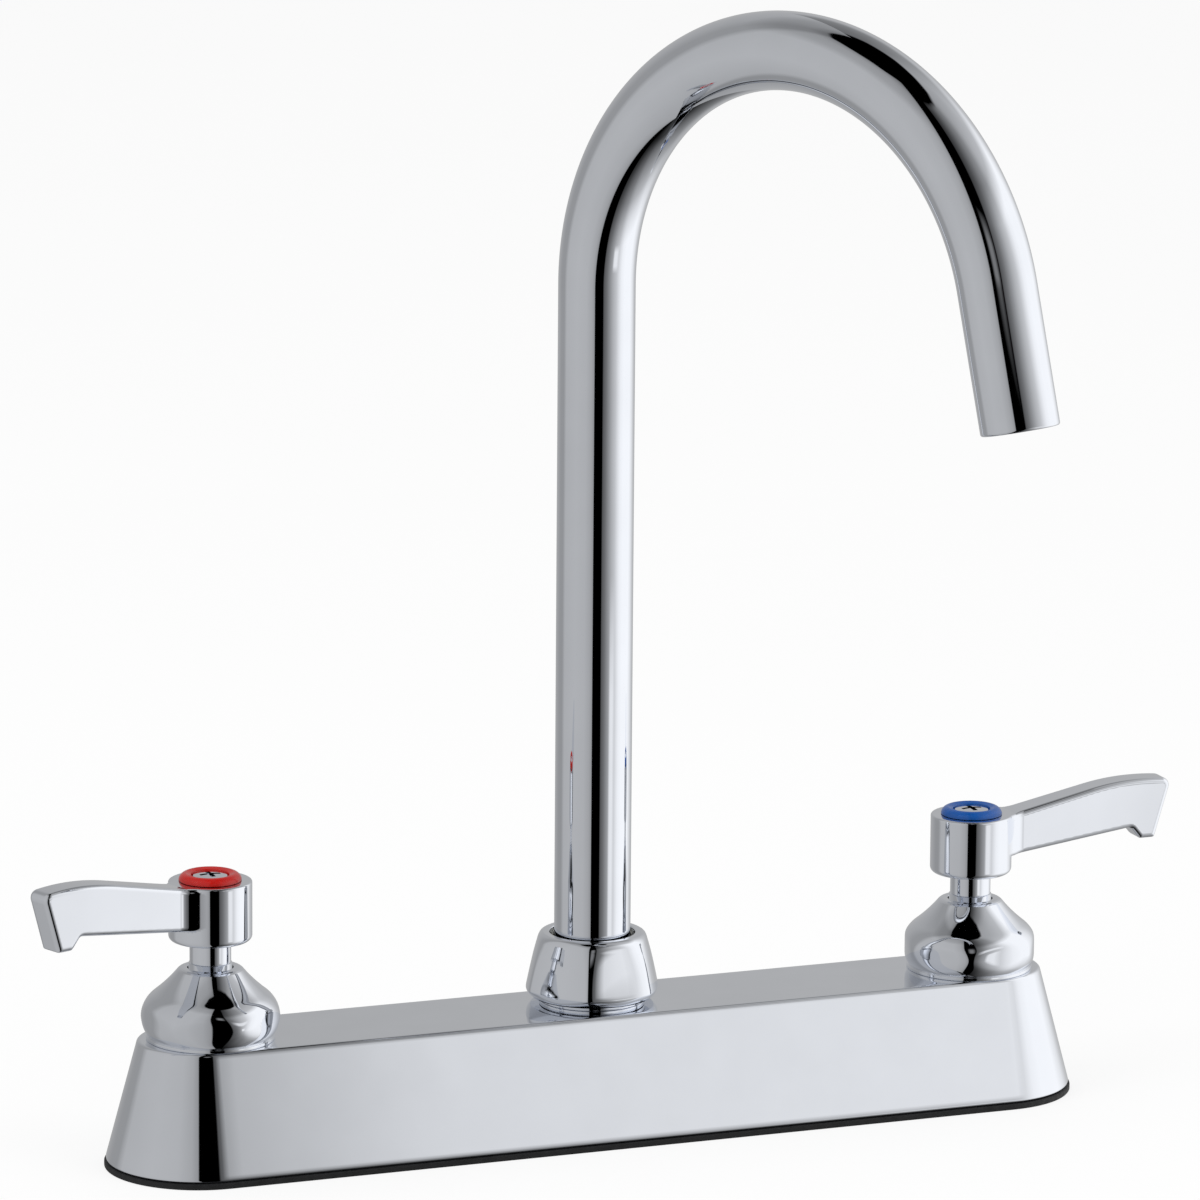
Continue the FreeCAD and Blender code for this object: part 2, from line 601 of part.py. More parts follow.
def spout_washer():
    """The slip washer between the bushing's flange and the nut."""
    body = new_piece("spout_washer")
    low = f"({SWIVEL_TOP} + sizes.face_gap)"
    inside = "(sizes.tube_diameter / 2 + sizes.clear_gap)"
    revolve(body, "section", [
        (inside, low),
        (FLANGE_RADIUS, low),
        (FLANGE_RADIUS, NUT_SHOULDER),
        (inside, NUT_SHOULDER),
    ])
    stand(body, y="sizes.spout_setback")
    return body


def spout_nut():
    """The domed nut with six soft flats that holds the spout down and lets it swing."""
    body = new_piece("spout_nut")
    foot = f"({COLLAR_TOP} + sizes.face_gap)"
    top = f"({foot} + sizes.nut_height)"
    hole = "(sizes.tube_diameter / 2 + sizes.nut_clearance)"
    revolve(body, "section", [
        (NUT_THREAD, foot),
        (f"{NUT_THREAD} + sizes.nut_foot_width", foot),
        (NUT_RADIUS, f"{foot} + sizes.nut_chamfer"),
        (NUT_RADIUS, f"{foot} + sizes.nut_belly_height", "sizes.nut_belly", LEFT),
        (f"{NUT_THREAD} + sizes.nut_shoulder_wall", f"{top} - sizes.nut_shoulder_drop",
         "sizes.nut_rounding", LEFT),
        (f"{NUT_THREAD} + sizes.nut_rim_wall", top),
        (hole, top),
        (hole, NUT_SHOULDER),
        (NUT_THREAD, NUT_SHOULDER),
    ])
    across = f"(2 * ({NUT_THREAD} + sizes.nut_flat_wall))"
    cut_flats(body, across, "sizes.nut_crown", f"{NUT_RADIUS} / 2")
    stand(body, y="sizes.spout_setback", turn="sizes.nut_turn")
    return body


def gooseneck_tube():
    """The bent tube: a tall riser, one wide bend and a short straight run to the open end."""
    body = new_piece("gooseneck_tube")
    bend_end_x = "(sizes.arch_radius * (1 - cos(sizes.arch_sweep)))"
    bend_end_z = f"({BEND_START} + sizes.arch_radius * sin(sizes.arch_sweep))"
    outlet_x = f"({bend_end_x} + sizes.outlet_run * sin(sizes.arch_sweep))"
    outlet_z = f"({bend_end_z} + sizes.outlet_run * cos(sizes.arch_sweep))"
    path = sketch_on(body, "path", "XZ_Plane")
    draw(path, [
        ("0", TUBE_FOOT),
        ("0", BEND_START, "sizes.arch_radius", RIGHT),
        (bend_end_x, bend_end_z),
        (outlet_x, outlet_z),
    ], closed=False)
    section = sketch_on(body, "section", "XY_Plane", TUBE_FOOT)
    draw_circle(section, "sizes.tube_diameter / 2")
    draw_circle(section, "sizes.tube_diameter / 2 - sizes.tube_wall")
    pipe = body.newObject("PartDesign::AdditivePipe", "gooseneck_tube_pipe")
    pipe.Profile = section
    pipe.Spine = path
    outlet = FreeCAD.Vector(path.evalExpression(outlet_x), 0, path.evalExpression(outlet_z))
    outer = sheet.get("tube_diameter") / 2
    round_edges(body, "sizes.outlet_edge", lambda edge: is_circle(edge, outer, outlet))
    stand(body, y="sizes.spout_setback", turn="sizes.spout_azimuth")
    return body


def seat_washer(side):
    """The rubber washer that seals the cartridge on its seat."""
    body = new_piece(f"{side}_seat_washer")
    revolve(body, "section", [
        ("sizes.seat_port", CHAMBER_FLOOR),
        ("sizes.window_barrel_radius", CHAMBER_FLOOR),
        ("sizes.window_barrel_radius", CARTRIDGE_FOOT),
        ("sizes.seat_port", CARTRIDGE_FOOT),
    ])
    stand(body, valve_line(side))
    return body


def cartridge(side):
    """The cartridge's barrel: discs in its lower end, windows in its side, the stem's bore above."""
    body = new_piece(f"{side}_cartridge")
    disc_room = "(sizes.disc_radius + sizes.fit_gap)"
    stem_room = "(sizes.stem_radius + sizes.running_gap)"
    ceiling = f"({STEM_SHOULDER} + sizes.face_gap)"
    step = f"({CARTRIDGE_FOOT} + sizes.window_barrel_height)"
    revolve(body, "section", [
        (disc_room, CARTRIDGE_FOOT),
        ("sizes.window_barrel_radius", CARTRIDGE_FOOT),
        ("sizes.window_barrel_radius", step),
        ("sizes.cartridge_radius", step),
        ("sizes.cartridge_radius", NECK_TOP),
        ("sizes.cartridge_flange_radius", NECK_TOP),
        ("sizes.cartridge_flange_radius", FLANGE_TOP),
        ("sizes.gland_radius", FLANGE_TOP),
        ("sizes.gland_radius", GLAND_TOP),
        (stem_room, GLAND_TOP),
        (stem_room, ceiling),
        (disc_room, ceiling),
    ])
    window = sketch_on(body, "windows", "YZ_Plane")
    draw_circle(window, "sizes.window_radius", "0", STEM_FOOT)
    extrude(body, window, "2 * sizes.cartridge_radius", "PartDesign::Pocket", side="Symmetric")
    stand(body, valve_line(side))
    return body


def ceramic_disc(side, name, foot, radius):
    """One ceramic disc with two round ports."""
    body = new_piece(f"{side}_{name}")
    face = sketch_on(body, "face", "XY_Plane", foot)
    draw_circle(face, radius)
    for offset in ("sizes.disc_port_offset", "-sizes.disc_port_offset"):
        draw_circle(face, "sizes.disc_port_radius", offset)
    extrude(body, face, "sizes.disc_thickness")
    return body


def fixed_disc(side):
    """The lower ceramic disc, which stays still; its ports lie front and back, so that the valve is shut."""
    body = ceramic_disc(side, "fixed_disc", CARTRIDGE_FOOT, "sizes.disc_radius")
    stand(body, valve_line(side), turn="90")
    return body


def moving_disc(side):
    """The upper ceramic disc, which turns with the stem."""
    body = ceramic_disc(side, "moving_disc", UPPER_DISC_FOOT, "sizes.disc_radius")
    stand(body, valve_line(side))
    return body


def flatted(sketch, gap="0"):
    """Draw the round section with two flats by which the stem drives the lever."""
    radius = f"(sizes.stem_radius + {gap})"
    flat = f"(sizes.stem_drive_flats / 2 + {gap})"
    corner = f"sqrt({radius} ^ 2 - {flat} ^ 2)"
    draw(sketch, [
        (flat, f"-{corner}"),
        (flat, corner, radius, LEFT),
        (f"-{flat}", corner),
        (f"-{flat}", f"-{corner}", radius, LEFT),
    ])


def stem(side):
    """The stem: a foot on the moving disc, a grooved round shaft, and a flatted end that drives the lever."""
    body = new_piece(f"{side}_stem")
    revolve(body, "shaft", [
        ("0", STEM_FOOT),
        ("sizes.disc_radius", STEM_FOOT),
        ("sizes.disc_radius", STEM_SHOULDER),
        ("sizes.stem_radius", STEM_SHOULDER),
        ("sizes.stem_radius", SLEEVE_TOP),
        ("0", SLEEVE_TOP),
    ])
    drive = sketch_on(body, "drive", "XY_Plane", SLEEVE_TOP)
    flatted(drive)
    extrude(body, drive, "sizes.stem_drive_height")
    screw_room = "(sizes.screw_radius + sizes.fit_gap)"
    revolve(body, "screw_hole", [
        ("0", f"{INDEX_SEAT} - sizes.screw_length - sizes.clear_gap"),
        (screw_room, f"{INDEX_SEAT} - sizes.screw_length - sizes.clear_gap"),
        (screw_room, STEM_TOP),
        ("0", STEM_TOP),
    ], "PartDesign::Groove")
    for place, height in (("lower", LOWER_STEM_RING), ("upper", UPPER_STEM_RING)):
        groove = ring_groove(ring_floor("sizes.stem_radius"), height)
        revolve(body, f"{place}_groove", groove, "PartDesign::Groove")
    stand(body, valve_line(side), turn=f"sizes.{side}_lever_azimuth")
    return body


def stem_rings(side):
    """The two rubber rings on the stem."""
    rings = ring_pair(f"{side}_stem_o_rings", "sizes.stem_radius", LOWER_STEM_RING)
    rings.setExpression("Placement.Base.x", valve_line(side))
    return rings


def bonnet(side):
    """The bell that screws on the valve's neck, hides it and holds the cartridge down."""
    body = new_piece(f"{side}_bonnet")
    base = "sizes.deck_height"
    neck_room = "(sizes.neck_radius + sizes.fit_gap)"
    gland_room = "(sizes.gland_radius + sizes.clear_gap)"
    throat = "(sizes.bonnet_rim_radius + sizes.clear_gap)"
    revolve(body, "section", [
        (neck_room, base),
        ("sizes.bonnet_foot_radius", base),
        ("sizes.bonnet_foot_radius", f"{base} + sizes.bonnet_foot_height"),
        ("sizes.bonnet_skirt_radius", f"{base} + sizes.bonnet_foot_height", "sizes.bonnet_skirt", LEFT),
        ("sizes.bonnet_radius", f"{base} + sizes.bonnet_waist_height", "sizes.bonnet_belly", LEFT),
        ("sizes.bonnet_shoulder_radius", f"{base} + sizes.bonnet_shoulder_height",
         "sizes.bonnet_flare", RIGHT),
        ("sizes.bonnet_lip_radius", f"{base} + sizes.bonnet_lip_height", "sizes.bonnet_rim_rounding", LEFT),
        ("sizes.bonnet_rim_radius", f"{base} + sizes.bonnet_height"),
        (gland_room, f"{base} + sizes.bonnet_height"),
        (gland_room, f"{base} + sizes.bonnet_height - sizes.bonnet_rim_rounding"),
        (throat, f"{FLANGE_TOP} + sizes.cartridge_flange_thickness"),
        (throat, FLANGE_TOP),
        (neck_room, FLANGE_TOP),
    ])
    cut_flats(body, "sizes.bonnet_across", "sizes.bonnet_crown", "sizes.bonnet_radius / 2")
    stand(body, valve_line(side), turn=f"sizes.{side}_bonnet_turn")
    return body


def stem_sleeve(side):
    """The bright sleeve round the stem between the cartridge and the lever."""
    body = new_piece(f"{side}_stem_sleeve")
    inside = "(sizes.stem_radius + sizes.fit_gap)"
    low = f"({GLAND_TOP} + sizes.face_gap)"
    revolve(body, "section", [
        (inside, low),
        ("sizes.sleeve_radius", low),
        ("sizes.sleeve_radius", SLEEVE_TOP),
        (inside, SLEEVE_TOP),
    ])
    stand(body, valve_line(side))
    return body


def lever_arm(body):
    """The lever's arm, seen from the side: it climbs from the hub to a crest and ends in a finger catch."""
    top = LEVER_TOP
    crest = f"({top} + sizes.lever_rise)"
    tip = "sizes.lever_length"
    catch_foot = f"({top} - sizes.lever_hook_drop)"
    catch_root = f"({catch_foot} + sizes.lever_hook_depth)"
    catch_start = f"({tip} - sizes.lever_slant - sizes.lever_hook_length)"
    profile = sketch_on(body, "side_view", "XZ_Plane")
    draw(profile, [
        ("0", top),
        ("0", f"{top} - sizes.lever_under_drop"),
        ("sizes.lever_hub_radius", f"{top} - sizes.lever_under_drop"),
        (f"{catch_start} - sizes.lever_nose", catch_root),
        (catch_start, f"{catch_foot} + sizes.lever_edge"),
        (f"{catch_start} + sizes.lever_edge", catch_foot),
        (f"{tip} - sizes.lever_slant - sizes.lever_edge", catch_foot, "sizes.lever_edge", LEFT),
        (f"{tip} - sizes.lever_slant", f"{catch_foot} + sizes.lever_edge"),
        (f"{tip} - sizes.lever_nose_lean", f"{crest} - sizes.lever_nose_height", "sizes.lever_nose", LEFT),
        (f"{tip} - sizes.lever_nose_length", f"{crest} - sizes.lever_nose_drop", "sizes.lever_crest", LEFT),
        (f"{tip} - sizes.lever_crest_length", f"{crest} - sizes.lever_crest_drop"),
        ("sizes.lever_hub_radius", top),
    ])
    extrude(body, profile, "2 * sizes.lever_hub_radius", side="Symmetric")


def lever(side):
    """The lever: a round hub on the stem and an arm that narrows towards its tip."""
    body = new_piece(f"{side}_lever")
    lever_arm(body)
    branch_x = "(sizes.lever_hub_radius * cos(sizes.lever_branch_angle))"
    branch_y = "(sizes.lever_hub_radius * sin(sizes.lever_branch_angle))"
    past_tip = "(sizes.lever_length + sizes.clear_gap)"
    waste = sketch_on(body, "waste", "XY_Plane")
    draw(waste, [
        (branch_x, branch_y, "sizes.lever_blend", LEFT),
        (f"{branch_x} + sizes.lever_blend", "sizes.lever_root_width / 2"),
        (past_tip, "sizes.lever_tip_width / 2"),
        (past_tip, "2 * sizes.lever_hub_radius"),
        ("0", "2 * sizes.lever_hub_radius"),
        ("0", branch_y),
    ])
    trim = extrude(body, waste, f"2 * {LEVER_TOP}", "PartDesign::Pocket", back=True)
    doc.recompute()
    other_side = body.newObject("PartDesign::Mirrored", f"{body.Name}_other_side")
    other_side.Originals = [trim]
    other_side.MirrorPlane = (waste, ["H_Axis"])
    body.Tip = other_side
    rounding = "sizes.lever_hub_rounding"
    revolve(body, "hub", [
        ("0", LEVER_FOOT),
        (f"sizes.lever_hub_radius - {rounding}", LEVER_FOOT, rounding, LEFT),
        ("sizes.lever_hub_radius", f"{LEVER_FOOT} + {rounding}"),
        ("sizes.lever_hub_radius", LEVER_TOP),
        ("0", LEVER_TOP),
    ])
    index_room = "(sizes.index_seat_radius + sizes.fit_gap)"
    revolve(body, "index_seat", [
        ("0", INDEX_SEAT),
        (index_room, INDEX_SEAT),
        (index_room, f"{LEVER_TOP} + sizes.clear_gap"),
        ("0", f"{LEVER_TOP} + sizes.clear_gap"),
    ], "PartDesign::Groove")
    screw_room = "(sizes.screw_radius + sizes.clear_gap)"
    sleeve_room = "(sizes.sleeve_radius + sizes.fit_gap)"
    revolve(body, "bore", [
        ("0", LEVER_FOOT),
        (sleeve_room, LEVER_FOOT),
        (sleeve_room, SLEEVE_TOP),
        (screw_room, SLEEVE_TOP),
        (screw_room, INDEX_SEAT),
        ("0", INDEX_SEAT),
    ], "PartDesign::Groove")
    drive = sketch_on(body, "drive", "XY_Plane", SLEEVE_TOP)
    flatted(drive, "sizes.fit_gap")
    extrude(body, drive, "sizes.stem_drive_height + sizes.fit_gap", "PartDesign::Pocket", back=True)
    stand(body, valve_line(side), turn=f"sizes.{side}_lever_azimuth")
    return body


def index_ring(side):
    """The coloured plastic ring that tells hot from cold."""
    body = new_piece(f"{side}_index_ring")
    revolve(body, "section", [
        ("sizes.index_hole", INDEX_SEAT),
        ("sizes.index_seat_radius", INDEX_SEAT),
        ("sizes.index_seat_radius", LEVER_TOP),
        ("sizes.index_radius", f"{LEVER_TOP} + sizes.index_shoulder", "sizes.index_rise", LEFT),
        ("sizes.index_crown_radius", f"{LEVER_TOP} + sizes.index_rise"),
        ("sizes.index_hole + sizes.fit_gap", f"{LEVER_TOP} + sizes.index_rise - sizes.screw_dome"),
        ("sizes.index_hole", f"{LEVER_TOP} + sizes.index_rise - 2 * sizes.screw_dome"),
    ])
    stand(body, valve_line(side))
    return body


def handle_screw(side):
    """The cross-slotted screw that holds the lever on its stem."""
    body = new_piece(f"{side}_handle_screw")
    edge = f"({INDEX_SEAT} + sizes.screw_head_height)"
    crown = "(sizes.screw_head_radius ^ 2 + sizes.screw_dome ^ 2) / (2 * sizes.screw_dome)"
    revolve(body, "section", [
        ("0", f"{INDEX_SEAT} - sizes.screw_length"),
        ("sizes.screw_radius", f"{INDEX_SEAT} - sizes.screw_length"),
        ("sizes.screw_radius", INDEX_SEAT),
        ("sizes.screw_head_radius", INDEX_SEAT),
        ("sizes.screw_head_radius", edge, crown, LEFT),
        ("0", f"{edge} + sizes.screw_dome"),
    ])
    slots = sketch_on(body, "slots", "XY_Plane", f"{edge} + sizes.screw_dome")
    half, thin = "(sizes.cross_slot_length / 2)", "(sizes.cross_slot_width / 2)"
    draw(slots, [
        (half, f"-{thin}"), (half, thin), (thin, thin), (thin, half), (f"-{thin}", half), (f"-{thin}", thin),
        (f"-{half}", thin), (f"-{half}", f"-{thin}"), (f"-{thin}", f"-{thin}"), (f"-{thin}", f"-{half}"),
        (thin, f"-{half}"), (thin, f"-{thin}"),
    ])
    extrude(body, slots, "sizes.cross_slot_depth", "PartDesign::Pocket")
    stand(body, valve_line(side))
    return body


middle_pieces = [
    deck_shell(), base_gasket(), spout_hub(), spout_nipple(), spout_nut(), spout_washer(),
    gooseneck_tube(), spout_bushing(), spout_rings(),
]
side_pieces = [
    make(side)
    for side in SIDES
    for make in (valve_body, cross_tube, seat_washer, cartridge, fixed_disc, bonnet,
                 moving_disc, stem, stem_rings, stem_sleeve, lever, index_ring, handle_screw)
]
pieces = middle_pieces + side_pieces
doc.recompute()

for item in doc.Objects:
    if {"Invalid", "Error"} & set(item.State):
        raise RuntimeError(f"{item.Name} failed: {item.State}")
for piece in pieces:
    if piece.Shape.isNull() or not piece.Shape.isValid():
        raise RuntimeError(f"{piece.Label} has no valid shape")

os.makedirs("parts", exist_ok=True)
for piece in pieces:
    piece.Shape.exportStep(os.path.join("parts", f"{piece.Label}.step"))
    print(f"{piece.Label}: {len(piece.Shape.Solids)} solid, {piece.Shape.Volume / 1000:.2f} cm3")
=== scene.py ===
import json
import math

import bmesh
import bpy
import numpy as np
from mathutils import Matrix, Vector


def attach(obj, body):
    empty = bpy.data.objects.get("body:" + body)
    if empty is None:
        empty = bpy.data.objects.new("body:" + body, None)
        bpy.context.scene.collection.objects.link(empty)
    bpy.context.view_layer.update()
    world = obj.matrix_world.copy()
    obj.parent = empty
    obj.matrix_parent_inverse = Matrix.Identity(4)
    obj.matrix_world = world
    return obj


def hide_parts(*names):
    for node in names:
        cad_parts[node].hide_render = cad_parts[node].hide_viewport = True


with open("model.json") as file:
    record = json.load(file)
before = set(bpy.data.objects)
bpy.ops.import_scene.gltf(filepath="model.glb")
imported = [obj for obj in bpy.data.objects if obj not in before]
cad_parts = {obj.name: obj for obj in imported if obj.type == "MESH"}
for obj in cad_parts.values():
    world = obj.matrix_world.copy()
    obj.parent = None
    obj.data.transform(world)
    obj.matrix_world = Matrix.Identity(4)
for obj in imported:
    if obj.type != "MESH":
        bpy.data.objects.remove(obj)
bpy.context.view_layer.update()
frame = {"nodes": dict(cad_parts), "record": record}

bl_info = {
    "name": "Gooseneck faucet",
    "version": (1, 0, 0),
    "blender": (4, 5, 0),
    "location": "View3D > Sidebar > Faucet",
    "description": "Dresses a two-handle gooseneck faucet and lights it in a small studio",
    "category": "Object",
}

MM = 0.001
SIDES = {"hot": -1, "cold": 1}
RIGHT_ANGLE = math.pi / 2
# Points round a turned piece
AROUND = 192
# Depth of the recess in a lever's hub that holds its ring, in millimetres
RECESS = 2.2
# How far a sleeve goes into the hub, in millimetres
SLEEVE_ENTRY = 2.0


def linear(code):
    """Turn an sRGB hex colour into the linear numbers that Blender works with."""
    channels = [int(code[i:i + 2], 16) / 255 for i in (1, 3, 5)]
    return [c / 12.92 if c <= 0.04045 else ((c + 0.055) / 1.055) ** 2.4 for c in channels]


def length(name, default, description):
    """Describe one size of the faucet, given in millimetres."""
    return bpy.props.FloatProperty(name=name, default=default * MM, unit="LENGTH", description=description)


def angle_size(name, degrees, description):
    """Describe one angle of the faucet, given in degrees."""
    return bpy.props.FloatProperty(
        name=name, default=math.radians(degrees), subtype="ANGLE", description=description)


def colour(name, code, description):
    """Describe one colour, given as sRGB hex."""
    return bpy.props.FloatVectorProperty(
        name=name, default=linear(code), subtype="COLOR", min=0, max=1, description=description)


class DeckSizes(bpy.types.PropertyGroup):
    valve_spacing: length("Valve spacing", 203.2, "Between the axes of the two valves")
    height: length("Height", 32.0, "Top face above the sink")
    end_centre: length("End centre", 104.5, "Centre of each rounded end, from the middle")
    bottom_width: length("Bottom width", 46.6, "Front to back at the lower edge")
    top_width: length("Top width", 30.5, "Front to back at the top face")
    wall: length("Wall", 2.2, "Thickness of the casting")
    edge: length("Edge", 1.0, "Rounding of the top edge")
    seal_height: length("Seal height", 1.5, "Thickness of the rubber seal")
    seal_width: length("Seal width", 4.5, "Width of the seal's band")
    seal_overhang: length("Seal overhang", 0.2, "How far the seal stands out of the deck")
    spout_setback: length("Spout setback", 3.1, "Spout axis behind the line of the valves")


class SpoutSizes(bpy.types.PropertyGroup):
    diameter: length("Diameter", 19.05, "Outside of the tube")
    wall: length("Wall", 1.25, "Wall of the tube")
    foot: length("Foot", 40.0, "Lower end of the tube above the sink")
    bend_start: length("Bend start", 213.2, "Where the bend starts, above the sink")
    bend_radius: length("Bend radius", 64.3, "Centre line of the bend")
    outlet_run: length("Outlet run", 34.0, "Straight run after the bend")
    sweep: angle_size("Sweep", 166.7, "Angle of the bend")
    swing: angle_size("Swing", -63.5, "Where the spout points")
    nut_turn: angle_size("Nut turn", -24.7, "Where one flat of the nut points")


class HandleSizes(bpy.types.PropertyGroup):
    hub_radius: length("Hub radius", 10.3, "Round end of the lever")
    hub_foot: length("Hub foot", 56.8, "Underside of the hub above the sink")
    hub_top: length("Hub top", 71.8, "Top of the hub above the sink")
    reach: length("Reach", 54.2, "Stem axis to the tip")
    root_width: length("Root width", 8.6, "Width of the arm near the hub")
    tip_width: length("Tip width", 7.0, "Width of the arm at the tip")
    arm_drop: length("Arm drop", 10.8, "Top of the hub down to the arm's underside")
    arm_edge: length("Arm edge", 1.3, "Rounding of the arm's edges")
    web: length("Web", 3.2, "Hollow curve between hub and arm")
    hot_azimuth: angle_size("Hot lever", 200.8, "Where the hot lever points")
    cold_azimuth: angle_size("Cold lever", 0, "Where the cold lever points")
    hot_flat: angle_size("Hot bonnet", -111.7, "Where one of its flats points")
    cold_flat: angle_size("Cold bonnet", -81.7, "Where one of its flats points")


class Finishes(bpy.types.PropertyGroup):
    chrome: colour("Chrome", "#E9ECF2", "Bright decorative plate")
    brass: colour("Brass", "#C9A467", "Cast and turned brass inside")
    rubber: colour("Rubber", "#17181A", "Seal and rings")
    red: colour("Red", "#B5140D", "Hot index ring")
    blue: colour("Blue", "#0A4F9C", "Cold index ring")
    ceramic: colour("Ceramic", "#EDEBE4", "Valve discs")
    nylon: colour("Nylon", "#E6E3D6", "Slip washer")
    floor: colour("Floor", "#F7F7F7", "Studio floor")


def settings(group):
    """Give the faucet's property group of that name."""
    return getattr(bpy.context.scene, f"faucet_{group}")


# Materials

def add_node(tree, kind, inputs=(), **values):
    """Add a node, set its properties, and fill or link its inputs by name or number."""
    node = tree.nodes.new(kind)
    for name, value in values.items():
        setattr(node, name, value)
    for socket, value in dict(inputs).items():
        if isinstance(value, bpy.types.NodeSocket):
            tree.links.new(value, node.inputs[socket])
        else:
            node.inputs[socket].default_value = value
    return node


def new_material(name):
    """Start a node material and give its tree and its Object coordinates."""
    material = bpy.data.materials.new(name)
    material.use_nodes = True
    tree = material.node_tree
    tree.nodes.clear()
    place = add_node(tree, "ShaderNodeTexCoord").outputs["Object"]
    return material, tree, place


def close_material(tree, shader):
    """Link the finished shader to the surface."""
    add_node(tree, "ShaderNodeOutputMaterial", {"Surface": shader.outputs[0]})


def speckle(tree, place, size_mm, low, high, detail=2.0):
    """Give a number that wanders between low and high over patches of that size."""
    noise = add_node(tree, "ShaderNodeTexNoise", {
        "Vector": place, "Scale": 1 / (size_mm * MM), "Detail": detail, "Roughness": 0.5})
    spread = add_node(tree, "ShaderNodeMapRange", {
        "Value": noise.outputs[0], "From Min": 0.3, "From Max": 0.7, "To Min": low, "To Max": high})
    return spread.outputs[0]


def grain_bump(tree, place, size_mm, depth_mm, detail=2.0):
    """Give the normal of a surface with grain of that size and depth."""
    noise = add_node(tree, "ShaderNodeTexNoise", {
        "Vector": place, "Scale": 1 / (size_mm * MM), "Detail": detail})
    return add_node(tree, "ShaderNodeBump", {
        "Height": noise.outputs[0], "Strength": 1.0, "Distance": depth_mm * MM}).outputs[0]


def tinted(tree, place, base, size_mm, spread):
    """Give a colour that is slightly lighter and darker in patches of that size."""
    level = speckle(tree, place, size_mm, 1 - spread, 1 + spread)
    mixed = add_node(tree, "ShaderNodeVectorMath", {0: tuple(base), "Scale": level}, operation="SCALE")
    return mixed.outputs[0]


def chrome_plate():
    """Nickel-chrome plate over metal that was buffed first."""
    # To the eye: a cool mirror, with long soft waves from the buff and a faint haze where it lifted
    material, tree, place = new_material("Bright chrome plate")
    shader = add_node(tree, "ShaderNodeBsdfPrincipled", {
        "Base Color": tinted(tree, place, settings("finish").chrome, 14, 0.015),
        "Metallic": 1.0,
        "Roughness": speckle(tree, place, 6, 0.02, 0.045, 4),
        "Normal": grain_bump(tree, place, 16, 0.012, 1),
    })
    close_material(tree, shader)
    return material


def cast_brass():
    """Brass, sand-cast and left as it comes from the mould."""
    # To the eye: dull yellow metal with a sandy grain and darker patches
    material, tree, place = new_material("Sand-cast brass")
    shader = add_node(tree, "ShaderNodeBsdfPrincipled", {
        "Base Color": tinted(tree, place, settings("finish").brass, 3, 0.12),
        "Metallic": 1.0,
        "Roughness": speckle(tree, place, 2, 0.38, 0.55),
        "Normal": grain_bump(tree, place, 0.6, 0.05),
    })
    close_material(tree, shader)
    return material


def moulded_rubber():
    """Black rubber, moulded."""
    # To the eye: matt near-black with a fine mould texture and a trace of dust grey
    material, tree, place = new_material("Moulded black rubber")
    shader = add_node(tree, "ShaderNodeBsdfPrincipled", {
        "Base Color": tinted(tree, place, settings("finish").rubber, 2, 0.25),
        "Roughness": speckle(tree, place, 1, 0.55, 0.75),
        "Normal": grain_bump(tree, place, 0.4, 0.01),
    })
    close_material(tree, shader)
    return material


def moulded_acetal(name, base):
    """Acetal, moulded in a polished tool."""
    # To the eye: even strong colour, small sharp highlights and a trace of orange peel
    material, tree, place = new_material(name)
    shader = add_node(tree, "ShaderNodeBsdfPrincipled", {
        "Base Color": tinted(tree, place, base, 1.5, 0.05),
        "Roughness": speckle(tree, place, 1.2, 0.16, 0.26),
        "Normal": grain_bump(tree, place, 0.9, 0.002),
    })
    close_material(tree, shader)
    return material


def fired_alumina():
    """Alumina ceramic, fired and lapped flat."""
    # To the eye: near white and satin, with a fine speckle
    material, tree, place = new_material("Lapped alumina")
    shader = add_node(tree, "ShaderNodeBsdfPrincipled", {
        "Base Color": tinted(tree, place, settings("finish").ceramic, 0.5, 0.04),
        "Roughness": speckle(tree, place, 0.7, 0.25, 0.35),
    })
    close_material(tree, shader)
    return material


def moulded_nylon():
    """Natural nylon, moulded."""
    # To the eye: waxy off-white with a soft gloss
    material, tree, place = new_material("Natural nylon")
    shader = add_node(tree, "ShaderNodeBsdfPrincipled", {
        "Base Color": tinted(tree, place, settings("finish").nylon, 2, 0.04),
        "Roughness": speckle(tree, place, 1, 0.4, 0.5),
    })
    close_material(tree, shader)
    return material


MAKERS = {
    "polished_chrome": chrome_plate,
    "cast_brass": cast_brass,
    "black_rubber": moulded_rubber,
    "red_plastic": lambda: moulded_acetal("Red acetal", settings("finish").red),
    "blue_plastic": lambda: moulded_acetal("Blue acetal", settings("finish").blue),
    "ceramic": fired_alumina,
    "white_nylon": moulded_nylon,
}
made = {}


def finish(slot):
    """Give the material of a slot of the record, made once."""
    if slot not in made:
        made[slot] = MAKERS[slot]()
    return made[slot]


# Outlines and surfaces

def arc(start, end, radius, turn, step):
    """Give the points of the short arc from start up to end, which bends left (1) or right (-1)."""
    start, end = np.array(start, float), np.array(end, float)
    chord = end - start
    half = np.linalg.norm(chord) / 2
    sideways = np.array([-chord[1], chord[0]]) / (2 * half) * turn
    centre = (start + end) / 2 + sideways * math.sqrt(radius ** 2 - half ** 2)
    first = math.atan2(*(start - centre)[::-1])
    swept = 2 * math.asin(half / radius) * turn
    count = max(2, math.ceil(radius * abs(swept) / step))
    angles = first + swept * np.arange(count) / count
    return centre + radius * np.column_stack([np.cos(angles), np.sin(angles)])


def outline(corners, step):
    """Join corners (x, y) by lines, or by an arc where a corner adds radius and turn for its next edge."""
    points = []
    for corner, following in zip(corners, corners[1:] + corners[:1]):
        if len(corner) == 4:
            points.extend(arc(corner[:2], following[:2], corner[2], corner[3], step))
        else:
            points.append(np.array(corner, float))
    return np.array(points)


